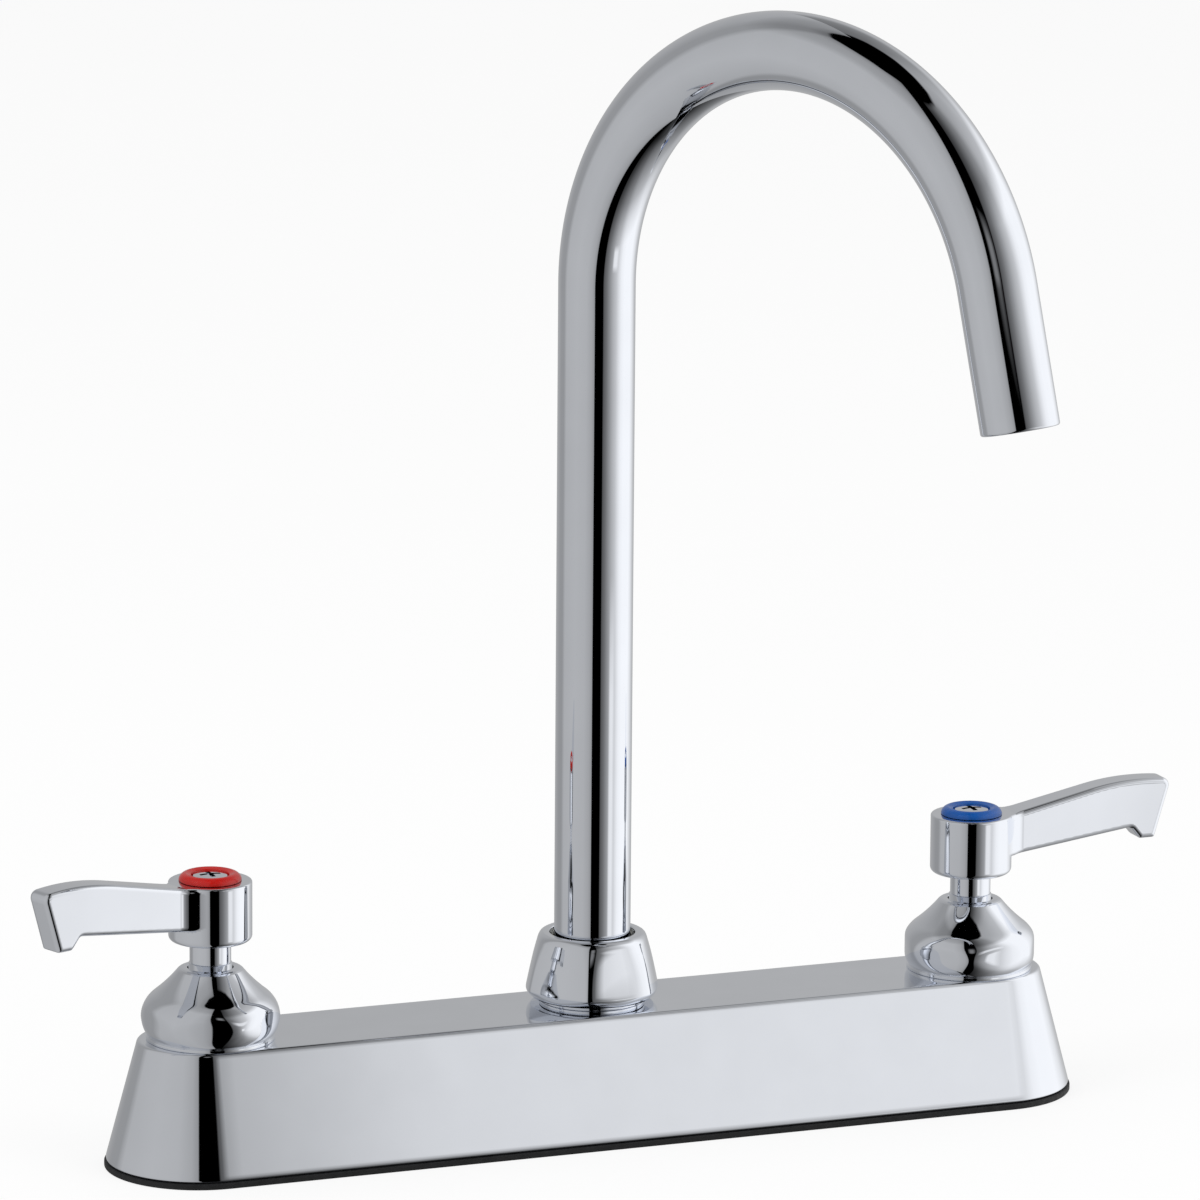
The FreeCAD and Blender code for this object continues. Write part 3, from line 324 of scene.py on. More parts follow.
def soften(points, radius, sharp=math.radians(12)):
    """Replace each sharp corner of a closed outline by an arc of that radius, but not on the axis."""
    softened = []
    for before, corner, after in zip(np.roll(points, 1, 0), points, np.roll(points, -1, 0)):
        back, on = before - corner, after - corner
        back_length, on_length = np.linalg.norm(back), np.linalg.norm(on)
        back, on = back / back_length, on / on_length
        opening = math.acos(np.clip(back @ on, -1, 1))
        if math.pi - opening < sharp or corner[0] == 0:
            softened.append(corner)
            continue
        cut = min(radius / math.tan(opening / 2), 0.45 * back_length, 0.45 * on_length)
        turned = cut * math.tan(opening / 2)
        centre = corner + (back + on) / np.linalg.norm(back + on) * (turned / math.sin(opening / 2))
        first, last = corner + back * cut - centre, corner + on * cut - centre
        for share in np.linspace(0, 1, 7):
            leg = first * (1 - share) + last * share
            softened.append(centre + leg / np.linalg.norm(leg) * turned)
    return np.array(softened)


def divided(points, step):
    """Divide each edge of a closed outline so that none is longer than step, but not along the axis."""
    dense = []
    for start, end in zip(points, np.roll(points, -1, 0)):
        along_axis = start[0] == 0 and end[0] == 0
        count = 1 if along_axis else max(1, math.ceil(np.linalg.norm(end - start) / step))
        dense.extend(start + (end - start) * share for share in np.arange(count) / count)
    return np.array(dense)


def skin(name, rows, solid=False):
    """Skin rows of points into a smooth closed object; a solid one starts and ends on its axis."""
    count, around = rows.shape[:2]
    index = np.arange(count * around).reshape(count, around)
    right, down = np.roll(index, -1, 1), np.roll(index, -1, 0)
    quads = np.stack([index, right, np.roll(down, -1, 1), down], -1)
    quads = quads[:count - 1 if solid else count].reshape(-1, 4)
    mesh = bpy.data.meshes.new(name)
    mesh.from_pydata(rows.reshape(-1, 3).tolist(), [], quads.tolist())
    return tidy(name, mesh)


def tidy(name, mesh):
    """Merge a closed mesh's doubles, turn its faces outwards, shade it smooth and make its object."""
    work = bmesh.new()
    work.from_mesh(mesh)
    bmesh.ops.remove_doubles(work, verts=work.verts, dist=0.0001 * MM)
    bmesh.ops.recalc_face_normals(work, faces=work.faces)
    work.to_mesh(mesh)
    work.free()
    mesh.shade_smooth()
    piece = bpy.data.objects.new(name, mesh)
    bpy.context.scene.collection.objects.link(piece)
    return piece


def around_axis(section, limit, soft, count):
    """Turn a closed outline of (radius, height) about Z; limit(angle, height) caps the radius, softly."""
    angles = np.arange(count) * 2 * math.pi / count
    radius = np.repeat(section[:, :1], count, 1)
    height = np.repeat(section[:, 1:], count, 1)
    if limit is not None:
        radius = soft_minimum(radius, limit(angles, height), soft)
    return np.stack([radius * np.cos(angles), radius * np.sin(angles), height], -1)


def soft_minimum(a, b, blend):
    """Give the smaller of two lengths, with a soft passage where they are nearly equal."""
    share = np.clip(0.5 + 0.5 * (b - a) / blend, 0, 1)
    return b * (1 - share) + a * share - blend * share * (1 - share)


def six_flats(across, crown, turn, lean=0.0, foot=0.0):
    """Give the limit of six softly bulged flats by angle and height; they lean inwards above the foot."""
    centre = across / 2 - crown

    def limit(angles, heights):
        away = (angles - turn + math.pi / 6) % (math.pi / 3) - math.pi / 6
        upright = centre * np.cos(away) + np.sqrt(crown ** 2 - (centre * np.sin(away)) ** 2)
        return upright - lean * (heights - foot)

    return limit


def set_down(points, x=0.0, y=0.0):
    """Move points in millimetres to where they stand, and give them in metres."""
    return (points + [x, y, 0]) * MM


def turned(name, corners, rounding, x=0.0, y=0.0, limit=None, soft=0.5, step=0.6, count=AROUND):
    """Make a turned piece from the corners of its section, in millimetres."""
    section = divided(soften(outline(corners, step), rounding), step)
    points = set_down(around_axis(section, limit, soft, count), x, y)
    return skin(name, points, solid=section[0, 0] == 0)


def dress(piece, body, slot, *nodes):
    """Give a finished piece its material and its body, and hide the nodes that it stands for."""
    piece.data.materials.clear()
    piece.data.materials.append(finish(slot))
    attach(piece, body)
    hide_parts(*nodes)


def valve_x(side):
    """Give the place of a valve's axis along X, in millimetres."""
    return SIDES[side] * settings("deck").valve_spacing / MM / 2


def in_mm(group):
    """Give every length and angle of a property group, lengths in millimetres."""
    values = {}
    for name, prop in group.bl_rna.properties.items():
        if prop.type == "FLOAT":
            values[name] = getattr(group, name) / (MM if prop.unit == "LENGTH" else 1)
    return values


# The deck

def stadium(half_width, centre, height, ends=48, along=60):
    """Give one level outline with round ends."""
    right = [(centre + half_width * math.cos(a), half_width * math.sin(a))
             for a in np.linspace(-RIGHT_ANGLE, RIGHT_ANGLE, ends, endpoint=False)]
    back = [(x, half_width) for x in np.linspace(centre, -centre, along, endpoint=False)]
    left_front = [(-x, -y) for x, y in right + back]
    return np.array([(x, y, height) for x, y in right + back + left_front])


def deck_outline(size):
    """Give the deck's section as half widths and heights: down the inside, then up the outside."""
    lean = (size["bottom_width"] - size["top_width"]) / 2 / (size["height"] - size["seal_height"])
    foot, top = size["seal_height"], size["height"]
    inner = size["bottom_width"] / 2 - size["wall"]
    ceiling = top - size["wall"]
    corners = [
        (0, ceiling), (inner - lean * (ceiling - foot), ceiling), (inner, foot),
        (size["bottom_width"] / 2, foot), (size["top_width"] / 2, top), (0, top),
    ]
    return divided(soften(np.array(corners), size["edge"]), 1.2)


def make_deck():
    """Make the tapered casting, hollow below."""
    size = in_mm(settings("deck"))
    rows = [stadium(half, size["end_centre"], height) for half, height in deck_outline(size)]
    piece = skin("deck_casting", set_down(np.array(rows)), solid=True)
    dress(piece, "deck", "polished_chrome", "deck_shell")


def make_seal():
    """Make the rubber seal's band."""
    size = in_mm(settings("deck"))
    outer = size["bottom_width"] / 2 + size["seal_overhang"]
    inner = outer - size["seal_width"]
    corners = np.array([(inner, 0), (outer, 0), (outer, size["seal_height"]), (inner, size["seal_height"])])
    section = divided(soften(corners, 0.3), 0.8)
    rows = [stadium(half, size["end_centre"], height) for half, height in section]
    dress(skin("seal", set_down(np.array(rows))), "deck", "black_rubber", "base_gasket")


class FAUCET_OT_deck(bpy.types.Operator):
    """Make the deck casting and its seal"""
    bl_idname = "faucet.deck"
    bl_label = "Deck and seal"

    def execute(self, context):
        make_deck()
        make_seal()
        return {"FINISHED"}


# The spout

def tube_nodes():
    """Build the tree that bends a tube: riser, bend, outlet run, rounded lip."""
    tree = bpy.data.node_groups.new("Bent tube", "GeometryNodeTree")
    inputs = ("Foot", "Bend Start", "Bend Radius", "Sweep", "Outlet Run", "Outside Radius", "Wall")
    for name in inputs:
        tree.interface.new_socket(name, in_out="INPUT", socket_type="NodeSocketFloat")
    tree.interface.new_socket("Material", in_out="INPUT", socket_type="NodeSocketMaterial")
    tree.interface.new_socket("Geometry", in_out="OUTPUT", socket_type="NodeSocketGeometry")
    given = add_node(tree, "NodeGroupInput").outputs

    def sum_of(a, b, operation="ADD"):
        return add_node(tree, "ShaderNodeMath", {0: a, 1: b}, operation=operation).outputs[0]

    def point(x, z):
        return add_node(tree, "ShaderNodeCombineXYZ", {"X": x, "Z": z}).outputs[0]

    def edges(curve):
        return add_node(tree, "GeometryNodeCurveToMesh", {"Curve": curve}).outputs[0]

    def straight(start, end):
        line = add_node(tree, "GeometryNodeCurvePrimitiveLine", {"Start": start, "End": end}).outputs[0]
        return add_node(tree, "GeometryNodeSubdivideCurve", {"Curve": line, "Cuts": 11}).outputs[0]

    radius, sweep = given["Bend Radius"], given["Sweep"]
    sine = add_node(tree, "ShaderNodeMath", {0: sweep}, operation="SINE").outputs[0]
    cosine = add_node(tree, "ShaderNodeMath", {0: sweep}, operation="COSINE").outputs[0]
    across = sum_of(radius, sum_of(radius, cosine, "MULTIPLY"), "SUBTRACT")
    rise = sum_of(given["Bend Start"], sum_of(radius, sine, "MULTIPLY"))
    lip = sum_of(given["Wall"], 2.0, "DIVIDE")
    run = sum_of(given["Outlet Run"], lip, "SUBTRACT")
    end = point(sum_of(across, sum_of(run, sine, "MULTIPLY")), sum_of(rise, sum_of(run, cosine, "MULTIPLY")))
    riser = straight(point(0.0, given["Foot"]), point(0.0, given["Bend Start"]))
    outlet = straight(point(across, rise), end)
    bend = add_node(tree, "GeometryNodeCurveArc", {
        "Resolution": 181, "Radius": radius, "Start Angle": sum_of(math.pi, sweep, "SUBTRACT"),
        "Sweep Angle": sweep}, mode="RADIUS")
    upright = add_node(tree, "GeometryNodeTransform", {
        "Geometry": bend.outputs[0], "Translation": point(radius, given["Bend Start"]),
        "Rotation": (RIGHT_ANGLE, 0, 0)})
    joined = add_node(tree, "GeometryNodeJoinGeometry")
    for part in (edges(riser), edges(upright.outputs[0]), edges(outlet)):
        tree.links.new(part, joined.inputs[0])
    merged = add_node(tree, "GeometryNodeMergeByDistance", {
        "Geometry": joined.outputs[0], "Distance": 0.01 * MM})
    path = add_node(tree, "GeometryNodeMeshToCurve", {"Mesh": merged.outputs[0]}).outputs[0]
    inside = sum_of(given["Outside Radius"], given["Wall"], "SUBTRACT")
    walls = []
    for wall_radius in (given["Outside Radius"], inside):
        ring = add_node(tree, "GeometryNodeCurvePrimitiveCircle", {"Resolution": 120, "Radius": wall_radius})
        walls.append(add_node(tree, "GeometryNodeCurveToMesh", {
            "Curve": path, "Profile Curve": ring.outputs[0]}).outputs[0])
    bore = add_node(tree, "GeometryNodeFlipFaces", {"Mesh": walls[1]}).outputs[0]
    middle = add_node(tree, "GeometryNodeCurvePrimitiveCircle", {
        "Resolution": 120, "Radius": sum_of(given["Outside Radius"], lip, "SUBTRACT")})
    bead = add_node(tree, "GeometryNodeCurvePrimitiveCircle", {"Resolution": 16, "Radius": lip})
    rim = add_node(tree, "GeometryNodeCurveToMesh", {
        "Curve": middle.outputs[0], "Profile Curve": bead.outputs[0]})
    tilt = add_node(tree, "ShaderNodeCombineXYZ", {"Y": sweep}).outputs[0]
    rim_at_end = add_node(tree, "GeometryNodeTransform", {
        "Geometry": rim.outputs[0], "Translation": end, "Rotation": tilt})
    tube = add_node(tree, "GeometryNodeJoinGeometry")
    for part in (walls[0], bore, rim_at_end.outputs[0]):
        tree.links.new(part, tube.inputs[0])
    smooth = add_node(tree, "GeometryNodeSetShadeSmooth", {
        "Geometry": tube.outputs[0], "Shade Smooth": True})
    whole = add_node(tree, "GeometryNodeRealizeInstances", {"Geometry": smooth.outputs[0]})
    dressed = add_node(tree, "GeometryNodeSetMaterial", {
        "Geometry": whole.outputs[0], "Material": given["Material"]})
    add_node(tree, "NodeGroupOutput", {0: dressed.outputs[0]})
    return tree


def grown(name, tree, values):
    """Run a tree on an empty mesh with the given input values, and give the plain mesh object."""
    seed = bpy.data.objects.new(name, bpy.data.meshes.new(name))
    bpy.context.scene.collection.objects.link(seed)
    modifier = seed.modifiers.new("Shape", "NODES")
    modifier.node_group = tree
    for item in tree.interface.items_tree:
        if item.in_out == "INPUT":
            modifier[item.identifier] = values[item.name]
    bpy.context.view_layer.update()
    evaluated = seed.evaluated_get(bpy.context.evaluated_depsgraph_get())
    mesh = bpy.data.meshes.new_from_object(evaluated)
    seed.modifiers.clear()
    seed.data = mesh
    return seed


def make_tube():
    """Make the gooseneck and turn it to where it points."""
    size = settings("spout")
    tube = grown("gooseneck", tube_nodes(), {
        "Foot": size.foot, "Bend Start": size.bend_start, "Bend Radius": size.bend_radius,
        "Sweep": size.sweep, "Outlet Run": size.outlet_run, "Outside Radius": size.diameter / 2,
        "Wall": size.wall, "Material": finish("polished_chrome"),
    })
    tube.data.transform(
        Matrix.Translation((0, settings("deck").spout_setback, 0)) @ Matrix.Rotation(size.swing, 4, "Z"))
    dress(tube, "spout", "polished_chrome", "gooseneck_tube")


class FAUCET_OT_spout(bpy.types.Operator):
    """Bend the spout's tube along its riser, bend and outlet run"""
    bl_idname = "faucet.spout"
    bl_label = "Gooseneck tube"

    def execute(self, context):
        make_tube()
        return {"FINISHED"}


def make_spout_nut():
    """Make the domed nut with six soft flats, and the post whose collar shows below it."""
    size = in_mm(settings("spout"))
    setback = settings("deck").spout_setback / MM
    foot, shoulder, top = 33.3, 46.2, 49.4
    thread, hole, widest = 12.8, 10.65, 17.7
    flats = six_flats(across=33.9, crown=60.0, turn=size["nut_turn"], lean=0.2, foot=foot)
    nut = turned("spout_nut_dome", [
        (thread, foot), (15.4, foot), (widest, foot + 2.2), (widest, foot + 2.6, 60.0, 1),
        (14.3, top - 2.2, 3.0, 1), (12.3, top), (hole, top), (hole, shoulder), (thread, shoulder),
    ], 0.4, y=setback, limit=flats, soft=1.8)
    dress(nut, "deck", "polished_chrome", "spout_nut")
    water, root, collar, post_thread, socket = 5.5, 7.5, 13.2, 12.7, 10.55
    end, deck_top, collar_top, floor, rim = 24.0, 32.0, 33.2, 34.2, 43.0
    post = turned("spout_post", [
        (water, end), (root, end), (root, deck_top), (collar, deck_top), (collar, collar_top),
        (post_thread, collar_top), (post_thread, rim), (socket, rim), (socket, floor), (water, floor),
    ], 0.2, y=setback)
    dress(post, "deck", "polished_chrome", "spout_nipple")


class FAUCET_OT_spout_nut(bpy.types.Operator):
    """Turn the spout's nut and its post"""
    bl_idname = "faucet.spout_nut"
    bl_label = "Spout nut"

    def execute(self, context):
        make_spout_nut()
        return {"FINISHED"}


# The valves

def make_bonnet(side):
    """Make one bell with its six soft flats."""
    size = in_mm(settings("handle"))
    base = settings("deck").height / MM
    top, shoulder = base + 18.0, base + 11.2
    thread, bore, hole, foot_ring = 11.1, 7.0, 5.65, 15.9
    flats = six_flats(across=32.8, crown=30.0, turn=size[f"{side}_flat"])
    bell = turned(f"{side}_bell", [
        (thread, base), (foot_ring, base), (foot_ring, base + 0.9), (15.5, base + 0.9, 9.8, 1),
        (17.15, base + 5.5, 7.9, 1), (14.15, base + 11.4, 38.0, -1), (8.4, base + 17.0, 2.2, 1),
        (6.7, top), (hole, top), (hole, base + 15.8), (bore, base + 14.4), (bore, shoulder),
        (thread, shoulder),
    ], 0.25, x=valve_x(side), limit=flats)
    dress(bell, "deck", "polished_chrome", f"{side}_bonnet")


def make_sleeve(side):
    """Make the bright sleeve round one stem."""
    foot, top = 51.2, settings("handle").hub_foot / MM + SLEEVE_ENTRY
    inner, outer = 3.6, 5.1
    sleeve = turned(f"{side}_sleeve", [
        (inner, foot), (outer, foot), (outer, top), (inner, top),
    ], 0.25, x=valve_x(side), step=0.4)
    dress(sleeve, f"{side}_handle", "polished_chrome", f"{side}_stem_sleeve")


class FAUCET_OT_bonnets(bpy.types.Operator):
    """Turn the bell-shaped bonnets and the sleeves above them"""
    bl_idname = "faucet.bonnets"
    bl_label = "Bonnets and sleeves"

    def execute(self, context):
        for side in SIDES:
            make_bonnet(side)
            make_sleeve(side)
        return {"FINISHED"}


# The levers, as a distance field whose zero surface is meshed

def meet(a, b, rounding):
    """Cut one distance field by another, with a rounded edge."""
    outside = np.hypot(np.maximum(a + rounding, 0), np.maximum(b + rounding, 0))
    return np.minimum(np.maximum(a, b), -rounding) + outside


def join(a, b, rounding):
    """Add one distance field to another, with a hollow rounding between them."""
    return -meet(-a, -b, rounding)


def outline_distance(x, y, corners):
    """Give the distance of points (x, y) to a closed outline, negative inside."""
    nearest = np.full(np.broadcast(x, y).shape, np.inf)
    inside = np.zeros(nearest.shape, bool)
    for start, end in zip(corners, np.roll(corners, -1, 0)):
        edge_x, edge_y = end - start
        leg_x, leg_y = x - start[0], y - start[1]
        share = np.clip((leg_x * edge_x + leg_y * edge_y) / (edge_x ** 2 + edge_y ** 2), 0, 1)
        nearest = np.minimum(nearest, np.hypot(leg_x - share * edge_x, leg_y - share * edge_y))
        if edge_y:
            spans = (start[1] > y) != (end[1] > y)
            inside ^= spans & (leg_x < leg_y * edge_x / edge_y)
    return np.where(inside, -nearest, nearest)


def lever_side_view(size):
    """Give the arm seen from the side: it climbs to a crest and ends in a finger catch."""
    top, tip, root, drop = size["hub_top"], size["reach"], size["hub_radius"], size["arm_drop"]
    foot, crest = top - 9.6, top + 6.0
    underside = [(0.0, top), (0.0, top - drop), (root, top - drop)]
    catch = [(tip - 11.2, foot + 3.1), (tip - 9.2, foot + 0.7), (tip - 8.5, foot), (tip - 4.9, foot, 0.7, 1)]
    end = [(tip - 4.2, foot + 0.7), (tip - 0.5, crest - 2.6, 2.0, 1), (tip - 2.2, crest - 0.25, 66.0, 1)]
    upper = [(tip - 22.4, crest - 1.4), (root, top)]
    return soften(outline(underside + catch + end + upper, 0.5), size["arm_edge"], sharp=math.radians(8))


def lever_field(size):
    """Give the lever's distance field in its own frame, arm along X, in millimetres."""
    side_view = lever_side_view(size)
    taper = (size["root_width"] - size["tip_width"]) / 2 / size["reach"]
    middle = (size["hub_top"] + size["hub_foot"]) / 2
    half_height = (size["hub_top"] - size["hub_foot"]) / 2

    def field(x, y, z):
        away = np.hypot(x, y)
        strip = meet(np.abs(y) - size["root_width"] / 2 + taper * x, -x, 0.1)
        plan = join(away - size["hub_radius"], strip, size["web"])
        arm = meet(plan, outline_distance(x, z, side_view), size["arm_edge"])
        edge = np.where(z < middle, 1.4, 0.5)
        hub = meet(away - size["hub_radius"], np.abs(z - middle) - half_height, edge)
        seat = np.maximum(away - 7.4, size["hub_top"] - RECESS - z)
        bore = np.maximum(away - 5.2, z - size["hub_foot"] - SLEEVE_ENTRY)
        return meet(meet(np.minimum(hub, arm), -seat, 0.15), -bore, 0.15)

    return field


def slope(field, points, reach=0.01):
    """Give the field's gradient at points."""
    steps = np.eye(3) * reach
    return np.stack([field(*(points + s).T) - field(*(points - s).T) for s in steps], -1) / (2 * reach)


def mesh_field(name, field, low, high, step):
    """Mesh the zero surface of a field: one point for each cell that it crosses, drawn on to the surface."""
    axes = [np.arange(a, b + step, step) for a, b in zip(low, high)]
    inside = field(*np.ix_(*axes)) < 0
    full = np.zeros(np.array(inside.shape) - 1, int)
    for corner in np.ndindex(2, 2, 2):
        full += inside[tuple(slice(c, n - 1 + c) for c, n in zip(corner, inside.shape))]
    crossed = (full > 0) & (full < 8)
    number = np.full(crossed.shape, -1)
    number[crossed] = np.arange(crossed.sum())
    points = (np.argwhere(crossed) + 0.5) * step + low
    for _ in range(5):
        lean = slope(field, points)
        points -= field(*points.T)[:, None] * lean / np.maximum((lean ** 2).sum(-1, keepdims=True), 0.2)
    quads = []
    for axis in range(3):
        cells = np.argwhere(np.diff(inside, axis=axis))
        one, other = np.delete(np.eye(3, dtype=int), axis, 0)
        ring = [cells, cells - one, cells - one - other, cells - other]
        quads.append(np.stack([number[tuple(cell.T)] for cell in ring], -1))
    mesh = bpy.data.meshes.new(name)
    mesh.from_pydata(points.tolist(), [], np.concatenate(quads).tolist())
    return mesh


def keep_true_normals(mesh, field, spot):
    """Shade a placed mesh with the slope of its field, so that the polish shows no trace of the grid."""
    turn = np.array(spot.to_3x3())
    points = np.array([vertex.co for vertex in mesh.vertices]) - np.array(spot.translation)
    normals = slope(field, points @ turn / MM) @ turn.T
    normals /= np.linalg.norm(normals, axis=1, keepdims=True)
    mesh.normals_split_custom_set_from_vertices(normals.tolist())


def make_levers():
    """Cast one lever, and turn a copy on each valve to where it points at rest."""
    size = in_mm(settings("handle"))
    low = np.array([-11.0, -11.0, size["hub_foot"] - 1])
    high = np.array([size["reach"] + 1, 11.0, size["hub_top"] + 7])
    field = lever_field(size)
    pattern = mesh_field("lever", field, low, high, 0.35)
    for side in SIDES:
        mesh = pattern.copy()
        turn = Matrix.Rotation(size[f"{side}_azimuth"], 4, "Z")
        spot = Matrix.Translation((valve_x(side) * MM, 0, 0)) @ turn
        mesh.transform(spot @ Matrix.Scale(MM, 4))
        casting = tidy(f"{side}_lever_casting", mesh)
        keep_true_normals(casting.data, field, spot)
        dress(casting, f"{side}_handle", "polished_chrome", f"{side}_lever")


class FAUCET_OT_levers(bpy.types.Operator):
    """Cast the two levers"""
    bl_idname = "faucet.levers"
    bl_label = "Levers"

    def execute(self, context):
        make_levers()
        return {"FINISHED"}


def make_index_ring(side):
    """Make one coloured ring in its recess."""
    top = settings("handle").hub_top / MM
    seat = top - RECESS
    ring = turned(f"{side}_index", [
        (4.6, seat), (7.3, seat), (7.3, top), (7.75, top + 0.1, 1.9, 1), (5.9, top + 1.9),
        (4.7, top + 1.5), (4.6, top + 1.1),
    ], 0.3, x=valve_x(side), step=0.25)
    dress(ring, f"{side}_handle", {"hot": "red_plastic", "cold": "blue_plastic"}[side], f"{side}_index_ring")


def cross_prism(x, reach, half_width, low, high):
    """Make an upright cross-shaped prism that cuts a screw's slot, in millimetres."""
    arm = np.array([(reach, -half_width), (reach, half_width), (half_width, half_width)])
    turns = [np.array(Matrix.Rotation(quarter * RIGHT_ANGLE, 2)).T for quarter in range(4)]
    corners = np.concatenate([arm @ turn for turn in turns])
    count = len(corners)
    points = [(x + a, b, z) for z in (low, high) for a, b in corners]
    sides = [(i, (i + 1) % count, (i + 1) % count + count, i + count) for i in range(count)]
    ends = [tuple(range(count))[::-1], tuple(range(count, 2 * count))]
    mesh = bpy.data.meshes.new("cross_slot")
    mesh.from_pydata((np.array(points) * MM).tolist(), [], sides + ends)
    prism = bpy.data.objects.new("cross_slot", mesh)
    bpy.context.scene.collection.objects.link(prism)
    return prism


def make_screw(side):
    """Make one domed screw and cut its cross slot."""
    seat = settings("handle").hub_top / MM - RECESS
    shank, head, dome = 1.8, 4.3, 0.4
    foot, edge = seat - 10, seat + 3.4
    crown = (head ** 2 + dome ** 2) / (2 * dome)
    screw = turned(f"{side}_screw", [
        (0.0, foot), (shank, foot), (shank, seat), (head, seat), (head, edge, crown, 1), (0.0, edge + dome),
    ], 0.2, x=valve_x(side), step=0.4, count=96)
    slot_reach, slot_half_width, slot_depth = 2.6, 0.6, 1.0
    cutter = cross_prism(valve_x(side), slot_reach, slot_half_width, edge - slot_depth, edge + slot_depth)
    cut = screw.modifiers.new("Slot", "BOOLEAN")
    cut.operation, cut.solver, cut.object = "DIFFERENCE", "EXACT", cutter
    bpy.context.view_layer.update()
    slotted = bpy.data.meshes.new_from_object(screw.evaluated_get(bpy.context.evaluated_depsgraph_get()))
    screw.modifiers.clear()
    screw.data = slotted
    screw.data.set_sharp_from_angle(angle=math.radians(40))
    bpy.data.objects.remove(cutter)
    dress(screw, f"{side}_handle", "polished_chrome", f"{side}_handle_screw")


class FAUCET_OT_index(bpy.types.Operator):
    """Mould the coloured rings and cut the screws inside them"""
    bl_idname = "faucet.index"
    bl_label = "Index rings and screws"

    def execute(self, context):
        for side in SIDES:
            make_index_ring(side)
            make_screw(side)
        return {"FINISHED"}


# What lies inside and below

def make_inner_works():
    """Give each node that is still shown a smooth copy of itself in the finish of its slot."""
    slots = {part["node"]: part["material_slot"] for part in frame["record"]["subparts"]}
    bodies = {name: body for body, names in frame["record"]["behaviour"]["bodies"].items() for name in names}
    for name, node in frame["nodes"].items():
        if node.hide_render:
            continue
        mesh = node.data.copy()
        work = bmesh.new()
        work.from_mesh(mesh)
        bmesh.ops.remove_doubles(work, verts=work.verts, dist=0.001 * MM)
        work.to_mesh(mesh)
        work.free()
        mesh.shade_smooth()
        mesh.set_sharp_from_angle(angle=math.radians(30))
        piece = bpy.data.objects.new(f"{name}_finished", mesh)
        bpy.context.scene.collection.objects.link(piece)
        dress(piece, bodies[name], slots[name], name)


class FAUCET_OT_inner_works(bpy.types.Operator):
    """Finish the castings, cartridges and seals inside"""
    bl_idname = "faucet.inner_works"
    bl_label = "Inner works"

    def execute(self, context):
        make_inner_works()
        return {"FINISHED"}


# The studio

# The camera as the photograph gives it: angles in degrees, focal length in pixels of a 1200 pixel frame, its
# distance in metres, and what it looks at, to the right of the spout and above the sink in millimetres
CAMERA_AZIMUTH = 21.46
CAMERA_LIFT = 12.258
CAMERA_ROLL = 0.425
FOCAL_PIXELS = 8444.1
FRAME_PIXELS = 1200
CAMERA_DISTANCE = 2.0864
AIM_RIGHT = 0.194
AIM_HEIGHT = 134.43
# The sphere that carries the reflected surroundings, and the height of its centre, in metres
ROOM_REACH = 0.8
ROOM_HEIGHT = 0.1

# Reflected surroundings, by degrees from the camera to the right: a wide grey softbox on the left, a dark
# gap where the camera stands, and a softbox on the right that brightens away from the gap
LEFT_BOX = (
    (-180, 0.47), (-150, 0.42), (-128, 0.35), (-112, 0.35), (-100, 0.5), (-60, 0.53), (-30, 0.51),
    (-14, 0.44), (-6, 0.34), (-5, 0.0))
RIGHT_BOX = (
    (19, 0.0), (21, 0.1), (30, 0.18), (40, 0.33), (50, 0.5), (60, 0.64), (70, 0.88), (78, 1.03), (90, 1.1),
    (118, 1.1), (132, 0.9), (145, 0.62), (160, 0.48), (180, 0.47))
# How each softbox fades with height, by degrees above the level
LEFT_FADE = ((-85, 0.8), (0, 1.0), (50, 0.96), (60, 0.75), (69, 0.68), (74, 0.5), (75, 0.0))
RIGHT_FADE = (
    (-75, 0.04), (-50, 0.33), (-40, 0.48), (-30, 0.78), (-20, 1.0), (35, 1.0), (46, 0.52), (60, 0.4),
    (69, 0.35), (71, 0.0))
# A low bright card that only the deck's front sees
LOW_CARD = ((24, 0.0), (38, 0.5), (58, 0.3), (68, 0.0))
LOW_CARD_HEIGHT = ((-2, 0.0), (3, 1.0), (10, 1.0), (15, 0.0))
# A small bright card below it that only the side of the cold lever sees
LEVER_CARD = ((44, 0.0), (49, 0.42), (57, 0.34), (64, 0.0))
LEVER_CARD_HEIGHT = ((-21, 0.0), (-18, 1.0), (-12, 1.0), (-9, 0.0))
# A slim strip light high in the dark gap, so that the deck isn't black when seen from straight ahead
STRIP = ((2, 0.0), (7, 0.2), (12, 0.2), (18, 0.0))
STRIP_HEIGHT = ((14, 0.0), (19, 1.0), (28, 1.0), (36, 0.0))
LIGHTS = (
    (LEFT_BOX, LEFT_FADE), (RIGHT_BOX, RIGHT_FADE), (LOW_CARD, LOW_CARD_HEIGHT),
    (LEVER_CARD, LEVER_CARD_HEIGHT), (STRIP, STRIP_HEIGHT))


def steps(tree, angle, stops):
    """Give the level that a list of (degrees, level) stops sets for an angle in radians."""
    first, last = stops[0][0], stops[-1][0]
    share = add_node(tree, "ShaderNodeMapRange", {
        "Value": angle, "From Min": math.radians(first), "From Max": math.radians(last)})
    ramp = add_node(tree, "ShaderNodeValToRGB", {"Fac": share.outputs[0]})
    while len(ramp.color_ramp.elements) < len(stops):
        ramp.color_ramp.elements.new(0.5)
    for element, (degrees, level) in zip(ramp.color_ramp.elements, stops):
        element.position = (degrees - first) / (last - first)
        element.color = (level, level, level, 1)
    return ramp.outputs[0]


